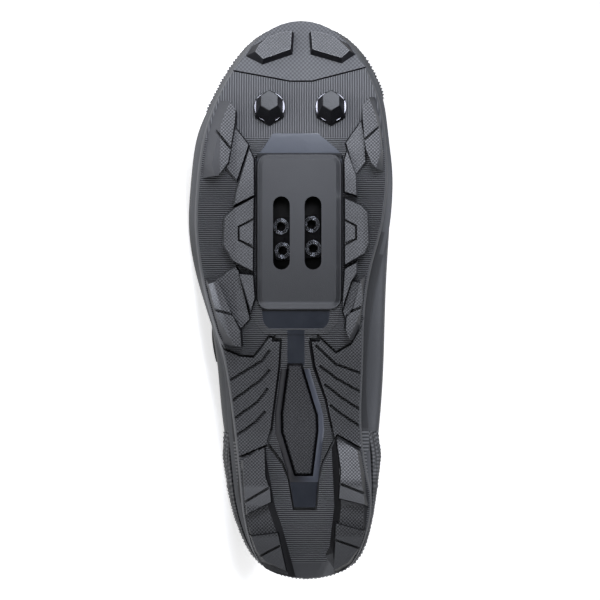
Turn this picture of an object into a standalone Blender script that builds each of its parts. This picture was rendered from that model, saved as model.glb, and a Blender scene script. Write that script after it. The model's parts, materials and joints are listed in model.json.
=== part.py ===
"""A right shoe for off-road cycling, lying on its lateral side with its sole towards -Y.

The shoe is modelled on its last: +X to the toe, +Y to the medial (arch) side and +Z up, with the ground at
Z = 0. One empty, "shoe", then lays the whole of it on its side, toe towards -X and medial side up.

Blender 4.5: blender --background --python part.py
"""

import math

import bmesh
import bpy
import numpy as np
from mathutils import Matrix, Vector

MM = 0.001

# Driving sizes, in metres.
LENGTH = 254 * MM  # the sole, from heel to toe
BALL_WIDTH = 91.5 * MM
UPPER_HEIGHT = 92 * MM  # ground to the top of the heel collar
TOE_SPRING = 18 * MM
ARCH_RISE = 7 * MM
GAP = 0.3 * MM  # between two pieces that touch

# The sole's layers, as depths below the underside of the sole's body.
TREAD_FACE = 2.2 * MM
LUG_FACE = 8.5 * MM
INNER_LUG_FACE = 7.0 * MM
TOE_LUG_FACE = 6.5 * MM
FACET_FACE = 4.2 * MM
ARCH_FACE = 3.2 * MM
RAIL_FACE = 5.0 * MM
SHANK_FACE = 2.0 * MM
BADGE_FACE = 3.4 * MM
SIPE_WIDTH = 1.1 * MM
SIPE_DEPTH = 2.4 * MM
GROOVE_WIDTH = 1.3 * MM
GROOVE_DEPTH = 1.1 * MM
TREAD_GROOVE = 0.9 * MM  # between two pieces of the tread

# The sole's body and the lip that holds the upper.
RIM_HEIGHT = 2.4 * MM
RIM_CHAMFER = 1.2 * MM
SOLE_THICK = 14.5 * MM  # at the heel
LIP_THICK = 1.5 * MM

# The upper and what is laid on it or inside it.
WALL = 2.0 * MM
COLLAR_PAD = 3.0 * MM
FEATHER_INSET = 6.0 * MM
OVERLAY_THICK = 1.6 * MM
INSOLE_THICK = 3.0 * MM
TONGUE_THICK = 4.0 * MM
STRAP_THICK = 2.0 * MM
STRAP_WIDTH = 16 * MM

# The cleat's fittings.
PLATE_LENGTH = 69.5 * MM
PLATE_WIDTH = 38.0 * MM
PLATE_FACE = 4.9 * MM
PLATE_SLOPE = 2.2 * MM
PLATE_SLOPE_DEPTH = 1.0 * MM
PLATE_CORNER = 4.5 * MM
PLATE_SPREAD = 0.5 * MM  # how much wider the plate and the badge are at their feet
SLOT_LENGTH = 33.5 * MM
SLOT_WIDTH = 7.7 * MM
SLOT_PITCH = 14.4 * MM
NUT_PITCH_ACROSS = 14.0 * MM
NUT_PITCH_ALONG = 11.0 * MM
NUT_WIDTH = 6.4 * MM
NUT_BORE = 4.0 * MM
NUT_PLATE_THICK = 1.7 * MM
NUT_SINK = 1.5 * MM  # the nuts' faces lie this far inside the slots
STUD_HEIGHT = 10.5 * MM
STUD_FOOT = 14.0 * MM
STUD_TOP = 8.2 * MM

# How finely curves are cut.
STATIONS = 38  # along each side of the shoe
BEND_STEP = 10 * MM

# Where the toe starts to rise and where the arch stands, as shares of the length.
SPRING_START = 0.70
ARCH_FROM, ARCH_TO = 0.14, 0.50

# In the tables below, stations and "along" are shares of LENGTH from the heel, and "lateral", "medial" and
# "across" are shares of BALL_WIDTH from the sole's axis, lateral side negative. Heights are shares of the
# size that each function names.

# The sole's edge: station, lateral, medial.
SOLE_EDGE = [
    (0.000, 0.030, 0.030),
    (0.017, -0.180, 0.243),
    (0.049, -0.240, 0.305),
    (0.100, -0.280, 0.350),
    (0.140, -0.295, 0.362),
    (0.210, -0.313, 0.323),
    (0.285, -0.338, 0.306),
    (0.390, -0.380, 0.317),
    (0.460, -0.440, 0.320),
    (0.545, -0.500, 0.348),
    (0.640, -0.528, 0.418),
    (0.720, -0.515, 0.440),
    (0.790, -0.487, 0.430),
    (0.860, -0.420, 0.398),
    (0.930, -0.305, 0.310),
    (0.966, -0.222, 0.232),
    (0.986, -0.145, 0.155),
    (1.000, 0.005, 0.005),
]

# The thickness of the sole's body, of SOLE_THICK: station, thickness.
BODY = [(0.0, 1.0), (0.15, 0.96), (0.35, 0.56), (0.50, 0.66), (0.65, 0.46), (0.85, 0.38), (1.0, 0.34)]

# The widest line of the upper: station, lateral, medial, and its height over the foot bed, of UPPER_HEIGHT.
WIDEST = [
    (0.000, 0.030, 0.030, 0.08),
    (0.030, -0.200, 0.270, 0.08),
    (0.067, -0.266, 0.320, 0.07),
    (0.140, -0.334, 0.362, 0.065),
    (0.210, -0.364, 0.385, 0.07),
    (0.300, -0.400, 0.412, 0.08),
    (0.390, -0.422, 0.428, 0.08),
    (0.500, -0.472, 0.436, 0.075),
    (0.570, -0.518, 0.444, 0.07),
    (0.643, -0.541, 0.455, 0.06),
    (0.714, -0.528, 0.458, 0.06),
    (0.790, -0.505, 0.432, 0.065),
    (0.858, -0.428, 0.408, 0.070),
    (0.930, -0.318, 0.328, 0.070),
    (0.970, -0.222, 0.236, 0.070),
    (1.000, 0.005, 0.005, 0.070),
]

# The edge of the collar and throat: station, along, lateral, medial, height of UPPER_HEIGHT.
OPENING = [
    (0.00, 0.040, 0.030, 0.030, 1.00),
    (0.05, 0.062, -0.115, 0.165, 0.97),
    (0.10, 0.095, -0.190, 0.240, 0.90),
    (0.18, 0.170, -0.245, 0.280, 0.79),
    (0.28, 0.275, -0.245, 0.270, 0.77),
    (0.36, 0.355, -0.200, 0.215, 0.86),
    (0.43, 0.410, -0.150, 0.155, 0.92),
    (0.55, 0.480, -0.140, 0.140, 0.83),
    (0.70, 0.540, -0.128, 0.125, 0.75),
    (0.85, 0.590, -0.100, 0.095, 0.685),
    (1.00, 0.620, 0.000, 0.000, 0.65),
]

# How full the upper is between its widest line and the opening (2 is an ellipse): station, fullness.
FULLNESS = [(0.0, 1.32), (0.2, 1.32), (0.35, 1.42), (0.5, 1.60), (0.65, 1.75), (0.85, 1.72), (1.0, 1.68)]

# How far up the sole's lip reaches, from -1 at the feather edge to 0 at the widest line: station, lateral,
# medial.
LIP = [
    (0.00, -0.35, -0.35),
    (0.20, -0.45, -0.50),
    (0.38, -0.60, -0.70),
    (0.55, -0.15, -0.55),
    (0.64, 0.02, -0.35),
    (0.75, -0.05, -0.25),
    (1.00, -0.05, -0.05),
]


def eased(rows, column, key=lambda value: value):
    """A smooth curve through one column of a table, which never overshoots its rows."""
    at = np.array([key(row[0]) for row in rows])
    value = np.array([row[column] for row in rows])
    step = np.diff(at)
    rise = np.diff(value) / step
    slope = np.concatenate([rise[:1], np.zeros(len(rise) - 1), rise[-1:]])
    for i in range(1, len(rise)):
        if rise[i - 1] * rise[i] > 0:
            slope[i] = 2 / (1 / rise[i - 1] + 1 / rise[i])

    def curve(x):
        i = np.clip(np.searchsorted(at, x) - 1, 0, len(step) - 1)
        t = (x - at[i]) / step[i]
        start = (1 + 2 * t) * value[i] + t * step[i] * slope[i]
        end = (3 - 2 * t) * value[i + 1] + (t - 1) * step[i] * slope[i + 1]
        return (1 - t) ** 2 * start + t * t * end

    return curve


def turn(station):
    """The share of the way round from heel to toe at a station, which rounds both ends of every outline."""
    return math.acos(1 - 2 * min(max(station, 0.0), 1.0)) / math.pi


def station_at(way):
    return (1 - math.cos(math.pi * way)) / 2


EDGE = {-1: eased(SOLE_EDGE, 1, turn), 1: eased(SOLE_EDGE, 2, turn)}
WIDE = {-1: eased(WIDEST, 1, turn), 1: eased(WIDEST, 2, turn)}
WIDE_HEIGHT = eased(WIDEST, 3, turn)
MOUTH_ALONG = eased(OPENING, 1, turn)
MOUTH = {-1: eased(OPENING, 2, turn), 1: eased(OPENING, 3, turn)}
MOUTH_HEIGHT = eased(OPENING, 4, turn)
FULL = eased(FULLNESS, 1)
LIP_REACH = {-1: eased(LIP, 1), 1: eased(LIP, 2)}
BODY_THICK = eased(BODY, 1)


def underside(x):
    """The height of the underside of the sole's body, with the toe spring and the arch."""
    share = x / LENGTH
    spring = max(share - SPRING_START, 0.0) / (1 - SPRING_START)
    arch = 0.0
    if ARCH_FROM < share < ARCH_TO:
        arch = (1 - math.cos(2 * math.pi * (share - ARCH_FROM) / (ARCH_TO - ARCH_FROM))) / 2
    return LUG_FACE + TOE_SPRING * spring**2 + ARCH_RISE * arch


def footbed(x):
    return underside(x) + SOLE_THICK * float(BODY_THICK(x / LENGTH))


def bent(point):
    """Carries a point from the flat tread, where Z is minus its depth, to the sole's curved underside."""
    step = 0.5 * MM
    slope = math.atan2(underside(point[0] + step) - underside(point[0] - step), 2 * step)
    depth = -point[2]
    return Vector(
        (
            point[0] + depth * math.sin(slope),
            point[1],
            underside(point[0]) - depth * math.cos(slope),
        )
    )


def ways():
    """The places round a closed outline: lateral side from heel to toe, then medial side back to the heel."""
    lateral = [(-1, i / STATIONS) for i in range(STATIONS + 1)]
    medial = [(1, i / STATIONS) for i in range(STATIONS - 1, 0, -1)]
    return lateral + medial


def inset(points, distance):
    """An anticlockwise outline moved inwards in plan by a distance, with mitred corners."""
    moved = []
    count = len(points)
    for i, point in enumerate(points):
        before = Vector(point[:2]) - Vector(points[i - 1][:2])
        after = Vector(points[(i + 1) % count][:2]) - Vector(point[:2])
        before.normalize()
        after.normalize()
        across = Vector((-before.y - after.y, before.x + after.x))
        across.normalize()
        reach = distance / max(across.dot(Vector((-before.y, before.x))), 0.4)
        moved.append((point[0] + across.x * reach, point[1] + across.y * reach))
    return moved


def sole_outline(distance=0.0):
    """The sole's edge in plan, moved inwards. It runs along the lateral side to the toe and back."""
    edge = []
    for side, way in ways():
        station = station_at(way)
        edge.append((station * LENGTH, float(EDGE[side](way)) * BALL_WIDTH))
    return inset(edge, distance)


def feather(side, column):
    """One coordinate of the feather edge, where the upper meets the foot bed, from the heel to the toe."""
    points = dict(zip(ways(), sole_outline(FEATHER_INSET)))
    rows = [(0.0, *points[(-1, 0.0)])]
    rows += [(i / STATIONS, *points[(side, i / STATIONS)]) for i in range(1, STATIONS)]
    rows += [(1.0, *points[(-1, 1.0)])]
    return eased(rows, column)


FEATHER_X = {-1: feather(-1, 1), 1: feather(1, 1)}
FEATHER_Y = {-1: feather(-1, 2), 1: feather(1, 2)}


def upper_surface(side, way, rise):
    """The outer face of the upper. way runs from 0 at the heel to 1 at the toe. rise runs from -1 at the
    feather edge, over 0 at the widest line, to 1 at the edge of the collar and throat."""
    if way < 0 or way > 1:
        side = -side
        way = -way if way < 0 else 2 - way
    station = station_at(way)
    feather_x = float(FEATHER_X[side](way))
    feather = Vector((feather_x, float(FEATHER_Y[side](way)), footbed(feather_x) + GAP))
    wide_x = station * (LENGTH - OVERLAY_THICK)
    wide = Vector((wide_x, float(WIDE[side](way)) * BALL_WIDTH, 0))
    wide.z = footbed(wide_x) + float(WIDE_HEIGHT(way)) * UPPER_HEIGHT
    mouth = Vector(
        (
            float(MOUTH_ALONG(way)) * LENGTH,
            float(MOUTH[side](way)) * BALL_WIDTH,
            float(MOUTH_HEIGHT(way)) * UPPER_HEIGHT,
        )
    )
    if rise <= 0:
        angle = (1 + rise) * math.pi / 2
        point = feather.lerp(wide, math.sin(angle))
        point.z = wide.z - (wide.z - feather.z) * math.cos(angle)
        return point
    angle = min(rise, 1.0) * math.pi / 2
    power = 2 / float(FULL(station))
    point = wide.lerp(mouth, 1 - max(math.cos(angle), 0.0) ** power)
    point.z = wide.z + (mouth.z - wide.z) * math.sin(angle) ** power
    return point


def upper_point(side, way, rise, out=0.0):
    """A point of the upper's outer face, moved outwards along the face's normal."""
    step = 0.004
    low, high = max(rise - step, -1.0), min(rise + step, 1.0)
    point = upper_surface(side, way, rise)
    if not out:
        return point
    along = upper_surface(side, way + step, rise) - upper_surface(side, way - step, rise)
    up = upper_surface(side, way, high) - upper_surface(side, way, low)
    normal = up.cross(along) if side > 0 else along.cross(up)
    normal.normalize()
    return point + normal * out


def mix(start, end, share):
    return start + (end - start) * share


def soft_step(value, low, high):
    share = min(max((value - low) / (high - low), 0.0), 1.0)
    return share * share * (3 - 2 * share)


def wall_at(way, rise):
    """The upper's wall, thicker where the collar is padded."""
    station = station_at(way)
    padded = soft_step(rise, 0.45, 0.85) * (1 - soft_step(station, 0.24, 0.35))
    return WALL + COLLAR_PAD * padded


def add_object(name, mesh):
    piece = bpy.data.objects.new(name, mesh)
    bpy.context.scene.collection.objects.link(piece)
    return piece


def to_mesh(name, shape):
    bmesh.ops.recalc_face_normals(shape, faces=shape.faces)
    mesh = bpy.data.meshes.new(name)
    shape.to_mesh(mesh)
    shape.free()
    return mesh


def skin(shape, rings, closed=False):
    """Faces between rings of points that run round the shoe. Returns the rings' vertices."""
    rows = [[shape.verts.new(point) for point in ring] for ring in rings]
    pairs = list(zip(rows, rows[1:] + rows[:1])) if closed else list(zip(rows, rows[1:]))
    for low, high in pairs:
        count = len(low)
        for i in range(count):
            k = (i + 1) % count
            shape.faces.new((low[i], low[k], high[k], high[i]))
    return rows


def close_across(shape, ring):
    """Closes a ring by strips from its lateral side to its medial side, so that it keeps the sole's curve."""
    count = len(ring)
    for i in range(STATIONS):
        corners = [ring[i], ring[i + 1], ring[count - i - 1], ring[(count - i) % count]]
        shape.faces.new(list(dict.fromkeys(corners)))


# The rises at which the outer face of the upper is cut, shared by what lies against it.
RISES = (-1, -0.72, -0.45, -0.15, 0.12, 0.3, 0.45, 0.6, 0.74, 0.88, 1)


def sole_body():
    """The body of the sole: a chamfered rim, an outer lip round the foot of the upper, and the foot bed."""
    shape = bmesh.new()
    around = ways()
    rim = sole_outline()
    foot = sole_outline(RIM_CHAMFER)
    reach = [float(LIP_REACH[side](station_at(way))) for side, way in around]
    rings = [
        [(x, y, underside(x)) for x, y in foot],
        [(x, y, underside(x) + RIM_HEIGHT) for x, y in rim],
    ]
    for share, out in ((0.45, LIP_THICK + GAP), (0.8, LIP_THICK + GAP), (1.0, LIP_THICK + GAP)):
        rings.append([upper_point(*place, mix(-1, lip, share), out) for place, lip in zip(around, reach)])
    for rise in reversed([rise for rise in RISES if rise < 0.3]):
        rings.append([upper_point(*place, min(rise, lip), GAP) for place, lip in zip(around, reach)])
    rows = skin(shape, rings)
    close_across(shape, rows[0])
    close_across(shape, rows[-1])
    return to_mesh("sole_body", shape)


def upper():
    """The upper: one wall from the feather edge to the collar and throat, open there and underneath."""
    shape = bmesh.new()
    inner = (1, 0.85, 0.68, 0.5, 0.3, 0.1, -0.3, -0.65, -1)
    rings = [[upper_point(*place, rise) for place in ways()] for rise in RISES]
    brow = []
    for side, way in ways():
        wall = wall_at(way, 1)
        brow.append(upper_point(side, way, 1, -wall / 2) + roll_in(side, way) * wall * 0.3)
    rings.append(brow)
    for rise in inner:
        rings.append([upper_point(*place, rise, -wall_at(place[1], rise)) for place in ways()])
    skin(shape, rings, closed=True)
    return to_mesh("upper", shape)


def roll_in(side, way):
    """The direction in which the wall ends at the collar and throat."""
    return (upper_surface(side, way, 1) - upper_surface(side, way, 0.97)).normalized()


def insole():
    shape = bmesh.new()
    outline = sole_outline(FEATHER_INSET + 2 * GAP)
    soft = sole_outline(FEATHER_INSET + 2 * GAP + INSOLE_THICK / 3)
    rings = [
        [(x, y, footbed(x) + GAP) for x, y in outline],
        [(x, y, footbed(x) + GAP + 0.6 * INSOLE_THICK) for x, y in outline],
        [(x, y, footbed(x) + GAP + INSOLE_THICK) for x, y in soft],
    ]
    rows = skin(shape, rings)
    close_across(shape, rows[0])
    close_across(shape, rows[-1])
    return to_mesh("insole", shape)


def patch(name, places, rises, low, high):
    """A piece laid on the upper: a grid of places by rises, between two distances from the upper's face."""
    shape = bmesh.new()
    sheets = []
    for out in (low, high):
        sheets.append([[shape.verts.new(upper_point(*p, rises(p, k), out)) for k in SHARES] for p in places])
    for sheet in sheets:
        for i in range(len(places) - 1):
            for k in range(len(SHARES) - 1):
                shape.faces.new((sheet[i][k], sheet[i + 1][k], sheet[i + 1][k + 1], sheet[i][k + 1]))
    border = [(i, 0) for i in range(len(places))]
    border += [(len(places) - 1, k) for k in range(1, len(SHARES))]
    border += [(i, len(SHARES) - 1) for i in range(len(places) - 2, -1, -1)]
    border += [(0, k) for k in range(len(SHARES) - 2, 0, -1)]
    for (i, k), (m, n) in zip(border, border[1:] + border[:1]):
        shape.faces.new((sheets[0][i][k], sheets[0][m][n], sheets[1][m][n], sheets[1][i][k]))
    return to_mesh(name, shape)


# The shares of an overlay's height at which its grid is cut.
SHARES = (0.0, 0.25, 0.5, 0.75, 1.0)

# How far the toe rand and the heel counter run back along each side, as stations, and how high they reach.
RAND_FROM = {-1: 0.81, 1: 0.84}
RAND_RISE = 0.30
COUNTER_TO = {-1: 0.27, 1: 0.28}
COUNTER_RISE = 0.42


def overlay(name, from_toe, ends, reach):
    """An overlay that wraps the toe or the heel, from just over the sole's lip to a smooth upper edge."""
    middle = 1.0 if from_toe else 0.0
    inside = [p for p in ways() if abs(p[1] - middle) <= abs(turn(ends[p[0]]) - middle)]
    places = sorted(inside, key=lambda p: p[0] * abs(p[1] - middle))

    def rises(place, share):
        side, way = place
        low = float(LIP_REACH[side](station_at(way))) + 0.05
        away = min(abs(way - middle) / abs(turn(ends[side]) - middle), 1.0)
        high = low + (reach - low) * (1 - 0.75 * away**2.5)
        return mix(low, high, share)

    return patch(name, places, rises, 1.5 * GAP, 1.5 * GAP + OVERLAY_THICK)


def way_at(side, x, rise):
    """The way round at which a line of constant rise reaches a given X."""
    grid = np.linspace(0.05, 0.98, 60)
    along = [upper_surface(side, way, rise).x for way in grid]
    return float(np.interp(x, along, grid))


# Each strap: the share of the length where it crosses the throat, how low its sewn medial end and its free
# lateral end lie, and how far the free end leads towards the toe, as a share of its width.
STRAPS = [(0.430, 0.40, 0.20, -0.25), (0.502, 0.46, 0.30, 0.0), (0.573, 0.50, 0.38, 0.15)]
STRAP_CROWN = 2.2 * MM
STRAP_CORNER = 0.05  # how far the free end's corners are cut back, as a share of the way to the throat


def strap(name, along, medial_end, lateral_end, lead):
    """One hook-and-loop strap, from the seam on the medial side over the throat to the lateral side."""
    columns = (-0.5, -0.2, 0.2, 0.5)
    steps = 7
    stops = [(-1, mix(lateral_end, 1.0, i / steps)) for i in range(steps)]
    stops += [(-1, 1.0), (0, 0.0), (1, 1.0)]
    stops += [(1, mix(1.0, medial_end, (i + 1) / steps)) for i in range(steps)]
    shape = bmesh.new()
    rows = []
    for place, (side, rise) in enumerate(stops):
        bottom, top = [], []
        for column in columns:
            shift = lead * STRAP_WIDTH * (1 - rise) if side < 0 else 0.0
            x = along * LENGTH + column * STRAP_WIDTH + shift
            cut_back = STRAP_CORNER if place == 0 and abs(column) == 0.5 else 0.0
            reach = mix(rise, 1.0, cut_back)
            if side:
                way = way_at(side, x, reach)
                low = upper_point(side, way, reach, 1.5 * GAP)
                high = upper_point(side, way, reach, 1.5 * GAP + STRAP_THICK)
            else:
                ends = [upper_surface(s, way_at(s, x, 1.0), 1.0) for s in (-1, 1)]
                low = ends[0].lerp(ends[1], 0.5) + Vector((0, 0, GAP + STRAP_CROWN))
                high = low + Vector((0, 0, STRAP_THICK))
            bottom.append(low)
            top.append(high)
        rows.append([shape.verts.new(point) for point in bottom + top[::-1]])
    for first, second in zip(rows, rows[1:]):
        count = len(first)
        for i in range(count):
            k = (i + 1) % count
            shape.faces.new((first[i], first[k], second[k], second[i]))
    for row in (rows[0], rows[-1]):
        for i in range(len(columns) - 1):
            shape.faces.new((row[i], row[i + 1], row[-2 - i], row[-1 - i]))
    return to_mesh(name, shape)


# The tongue: along, its half width as a share of BALL_WIDTH, and its crown over the ground, of UPPER_HEIGHT.
TONGUE = [
    (0.325, 0.250, 1.090),
    (0.350, 0.250, 1.010),
    (0.378, 0.180, 0.925),
    (0.405, 0.145, 0.865),
    (0.435, 0.190, 0.832),
    (0.480, 0.215, 0.798),
    (0.540, 0.200, 0.720),
    (0.600, 0.165, 0.650),
    (0.640, 0.130, 0.605),
]
TONGUE_BOW = 0.16  # how far the tongue's edges bend down, as a share of its half width


def tongue():
    """The padded tongue, under the throat's edges and straps and a little over the collar."""
    shape = bmesh.new()
    crown = [Vector((along * LENGTH, 0, height * UPPER_HEIGHT)) for along, _, height in TONGUE]
    rows = []
    for i, (_, half, _) in enumerate(TONGUE):
        ahead = crown[min(i + 1, len(crown) - 1)] - crown[max(i - 1, 0)]
        inwards = Vector((ahead.z, 0, -ahead.x)).normalized()
        bottom, top = [], []
        for share in (-1, -0.7, -0.35, 0, 0.35, 0.7, 1):
            bow = inwards * TONGUE_BOW * half * BALL_WIDTH * share * share
            point = crown[i] + bow + Vector((0, share * half * BALL_WIDTH, 0))
            top.append(point)
            bottom.append(point + inwards * TONGUE_THICK * (1 - 0.5 * share**4))
        rows.append([shape.verts.new(point) for point in bottom + top[::-1]])
    for first, second in zip(rows, rows[1:]):
        count = len(first)
        for i in range(count):
            k = (i + 1) % count
            shape.faces.new((first[i], first[k], second[k], second[i]))
    for row in (rows[0], rows[-1]):
        half = len(row) // 2
        for i in range(half - 1):
            shape.faces.new((row[i], row[i + 1], row[-2 - i], row[-1 - i]))
    return to_mesh("tongue", shape)


def flat(points, width=BALL_WIDTH):
    """A tread outline from shares of the length and of a width to metres, run anticlockwise."""
    placed = [(along * LENGTH, across * width) for along, across in points]
    area = sum(a[0] * b[1] - a[1] * b[0] for a, b in zip(placed, placed[1:] + placed[:1]))
    return placed if area > 0 else placed[::-1]


def prism(outline, face, foot, foot_outline=None):
    """A block of the flat tread between two depths. Its foot may have an outline of its own."""
    shape = bmesh.new()
    low = [shape.verts.new((x, y, -face)) for x, y in outline]
    high = [shape.verts.new((x, y, -foot)) for x, y in foot_outline or outline]
    shape.faces.new(low[::-1])
    shape.faces.new(high)
    for i in range(len(low)):
        k = (i + 1) % len(low)
        shape.faces.new((low[i], low[k], high[k], high[i]))
    return to_mesh("prism", shape)


def ribbon(line, width, face, foot):
    """A cutter that follows an open line in the flat tread, for a groove or a sipe."""
    points = [Vector((along * LENGTH, across * BALL_WIDTH)) for along, across in line]
    left, right = [], []
    for i, point in enumerate(points):
        ahead = (points[min(i + 1, len(points) - 1)] - points[max(i - 1, 0)]).normalized()
        side = Vector((-ahead.y, ahead.x)) * width / 2
        left.append(tuple(point + side))
        right.append(tuple(point - side))
    return prism(right + left[::-1], face, foot)


def carved(name, base, adds, cuts, within=()):
    """One solid: a flat block with others joined to it, kept within a column, and cutters taken from it."""
    piece = add_object(name, base)
    helpers = []
    for operation, meshes in (("UNION", adds), ("INTERSECT", within), ("DIFFERENCE", cuts)):
        for mesh in meshes:
            helper = add_object("helper", mesh)
            helper.hide_render = True
            helpers.append(helper)
            modifier = piece.modifiers.new(operation.lower(), "BOOLEAN")
            modifier.operation = operation
            modifier.object = helper
    bpy.context.view_layer.update()
    whole = bpy.data.meshes.new_from_object(piece.evaluated_get(bpy.context.evaluated_depsgraph_get()))
    for helper in helpers + [piece]:
        bpy.data.objects.remove(helper)
    return whole


def bend(mesh):
    """Cuts a flat tread piece every BEND_STEP and lays it on the sole's curved underside."""
    shape = bmesh.new()
    shape.from_mesh(mesh)
    bmesh.ops.remove_doubles(shape, verts=shape.verts, dist=0.005 * MM)
    bmesh.ops.dissolve_limit(shape, angle_limit=math.radians(0.2), verts=shape.verts, edges=shape.edges)
    low = min(v.co.x for v in shape.verts)
    high = max(v.co.x for v in shape.verts)
    for i in range(math.ceil(low / BEND_STEP), math.floor(high / BEND_STEP) + 1):
        everything = shape.verts[:] + shape.edges[:] + shape.faces[:]
        where = (i * BEND_STEP, 0, 0)
        bmesh.ops.bisect_plane(shape, geom=everything, dist=0.02 * MM, plane_co=where, plane_no=(1, 0, 0))
    bmesh.ops.triangulate(shape, faces=shape.faces)
    for vertex in shape.verts:
        vertex.co = bent(vertex.co)
    return to_mesh(mesh.name, shape)


TREAD_MARGIN = 0.035  # the strip of the sole's rim left outside the tread, as a share of the half width


def edge_run(side, start, end):
    """The tread's outer boundary between two stations, just inside the sole's rim."""
    count = max(2, round(abs(turn(end) - turn(start)) * STATIONS))
    run = []
    for i in range(count + 1):
        way = mix(turn(start), turn(end), i / count)
        run.append((station_at(way), float(EDGE[side](way)) * (1 - TREAD_MARGIN)))
    return run


def moved(line, along=0.0, across=0.0):
    """A line of shares moved by metres, to leave the groove between two tread pieces."""
    return [(a + along / LENGTH, c + across / BALL_WIDTH) for a, c in line]


# The lines along which the tread is divided: along, across.
TOE_SEAM = [(0.909, -0.335), (0.890, -0.050), (0.890, 0.060), (0.915, 0.330)]
REAR_LATERAL = [(0.434, -0.400), (0.414, -0.370), (0.403, -0.295), (0.401, -0.235), (0.423, -0.185)]
REAR_LATERAL += [(0.437, -0.160), (0.436, -0.090)]
REAR_MEDIAL = [(0.436, 0.060), (0.440, 0.088), (0.409, 0.179), (0.424, 0.250), (0.455, 0.300), (0.466, 0.318)]
HEEL_FRONT = [(0.209, -0.305), (0.213, -0.300), (0.234, -0.162), (0.202, -0.092), (0.176, -0.061)]
HEEL_FRONT += [(0.122, -0.036), (0.122, 0.084), (0.176, 0.098), (0.203, 0.118), (0.240, 0.170)]
HEEL_FRONT += [(0.252, 0.188), (0.228, 0.305), (0.224, 0.310)]
SPINE = [(0.436, -0.090), (0.436, 0.045), (0.382, 0.068), (0.319, 0.125), (0.274, 0.150), (0.245, 0.165)]
SPINE += [(0.206, 0.110), (0.178, 0.090), (0.126, 0.077), (0.126, -0.030), (0.178, -0.055), (0.206, -0.085)]
SPINE += [(0.240, -0.157), (0.264, -0.138), (0.291, -0.130), (0.382, -0.098)]

# The window in the forefoot tread that the shank plate and the cleat plate fill: along, share of PLATE_WIDTH.
WINDOW = [(0.797, -0.325), (0.797, 0.217), (0.767, 0.458), (0.757, 0.518), (0.499, 0.511), (0.480, 0.421)]
WINDOW += [(0.446, 0.229), (0.430, 0.217), (0.430, -0.313), (0.446, -0.313), (0.480, -0.506)]
WINDOW += [(0.499, -0.535), (0.757, -0.535), (0.767, -0.458)]

# The raised panel on the spine: along, across.
BADGE = [(0.381, -0.050), (0.381, 0.000), (0.289, 0.075), (0.262, 0.078), (0.186, 0.052), (0.186, -0.018)]
BADGE += [(0.259, -0.080), (0.292, -0.082)]

# The lugs of each tread piece: face depth, whether its outer wall runs out to the sole's rim, outline.
TOE_LUGS = [
    (
        TOE_LUG_FACE,
        True,
        [(0.937, -0.224), (0.924, -0.185), (0.941, -0.047), (0.974, -0.040), (0.972, -0.100), (0.963, -0.160)]
        + [(0.950, -0.205)],
    ),
    (
        TOE_LUG_FACE,
        True,
        [(0.974, 0.055), (0.941, 0.062), (0.926, 0.207), (0.939, 0.249), (0.955, 0.205), (0.968, 0.150)]
        + [(0.972, 0.105)],
    ),
]
FRONT_LUGS = [
    (
        LUG_FACE,
        True,
        [(0.848, -0.347), (0.833, -0.322), (0.814, -0.324), (0.760, -0.350), (0.743, -0.358), (0.720, -0.408)]
        + [(0.720, -0.423), (0.741, -0.438), (0.796, -0.405), (0.825, -0.377)],
    ),
    (
        FACET_FACE,
        False,
        [(0.805, -0.322), (0.775, -0.258), (0.714, -0.315), (0.735, -0.364), (0.770, -0.347)],
    ),
    (
        INNER_LUG_FACE,
        False,
        [(0.765, -0.252), (0.750, -0.232), (0.687, -0.230), (0.670, -0.325), (0.693, -0.315)],
    ),
    (
        INNER_LUG_FACE,
        False,
        [(0.681, -0.232), (0.662, -0.328), (0.648, -0.373), (0.597, -0.378), (0.569, -0.331)]
        + [(0.551, -0.236)],
    ),
    (INNER_LUG_FACE, False, [(0.545, -0.300), (0.543, -0.235), (0.502, -0.227), (0.482, -0.245)]),
    (
        FACET_FACE,
        False,
        [(0.533, -0.422), (0.558, -0.322), (0.551, -0.308), (0.467, -0.252), (0.451, -0.294)]
        + [(0.479, -0.345)],
    ),
    (
        LUG_FACE,
        True,
        [(0.527, -0.455), (0.533, -0.413), (0.481, -0.347), (0.449, -0.298), (0.422, -0.293), (0.424, -0.325)]
        + [(0.443, -0.362), (0.470, -0.410), (0.499, -0.435)],
    ),
    (
        LUG_FACE,
        True,
        [(0.855, 0.343), (0.840, 0.311), (0.820, 0.313), (0.780, 0.322), (0.765, 0.329), (0.741, 0.357)]
        + [(0.734, 0.378), (0.765, 0.408), (0.801, 0.392), (0.825, 0.375)],
    ),
    (FACET_FACE, False, [(0.816, 0.304), (0.784, 0.320), (0.745, 0.325), (0.724, 0.276), (0.779, 0.230)]),
    (
        INNER_LUG_FACE,
        False,
        [(0.762, 0.234), (0.721, 0.277), (0.687, 0.280), (0.693, 0.224), (0.748, 0.222)],
    ),
    (
        INNER_LUG_FACE,
        False,
        [(0.680, 0.225), (0.668, 0.303), (0.655, 0.335), (0.601, 0.340), (0.583, 0.320), (0.563, 0.225)],
    ),
    (
        INNER_LUG_FACE,
        False,
        [(0.554, 0.225), (0.565, 0.280), (0.547, 0.280), (0.533, 0.255), (0.499, 0.222), (0.486, 0.212)],
    ),
    (FACET_FACE, False, [(0.532, 0.262), (0.529, 0.298), (0.484, 0.260), (0.468, 0.227), (0.480, 0.215)]),
    (
        LUG_FACE,
        True,
        [(0.535, 0.303), (0.481, 0.260), (0.472, 0.233), (0.451, 0.228), (0.436, 0.245), (0.462, 0.278)]
        + [(0.480, 0.300), (0.500, 0.312)],
    ),
]
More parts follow.
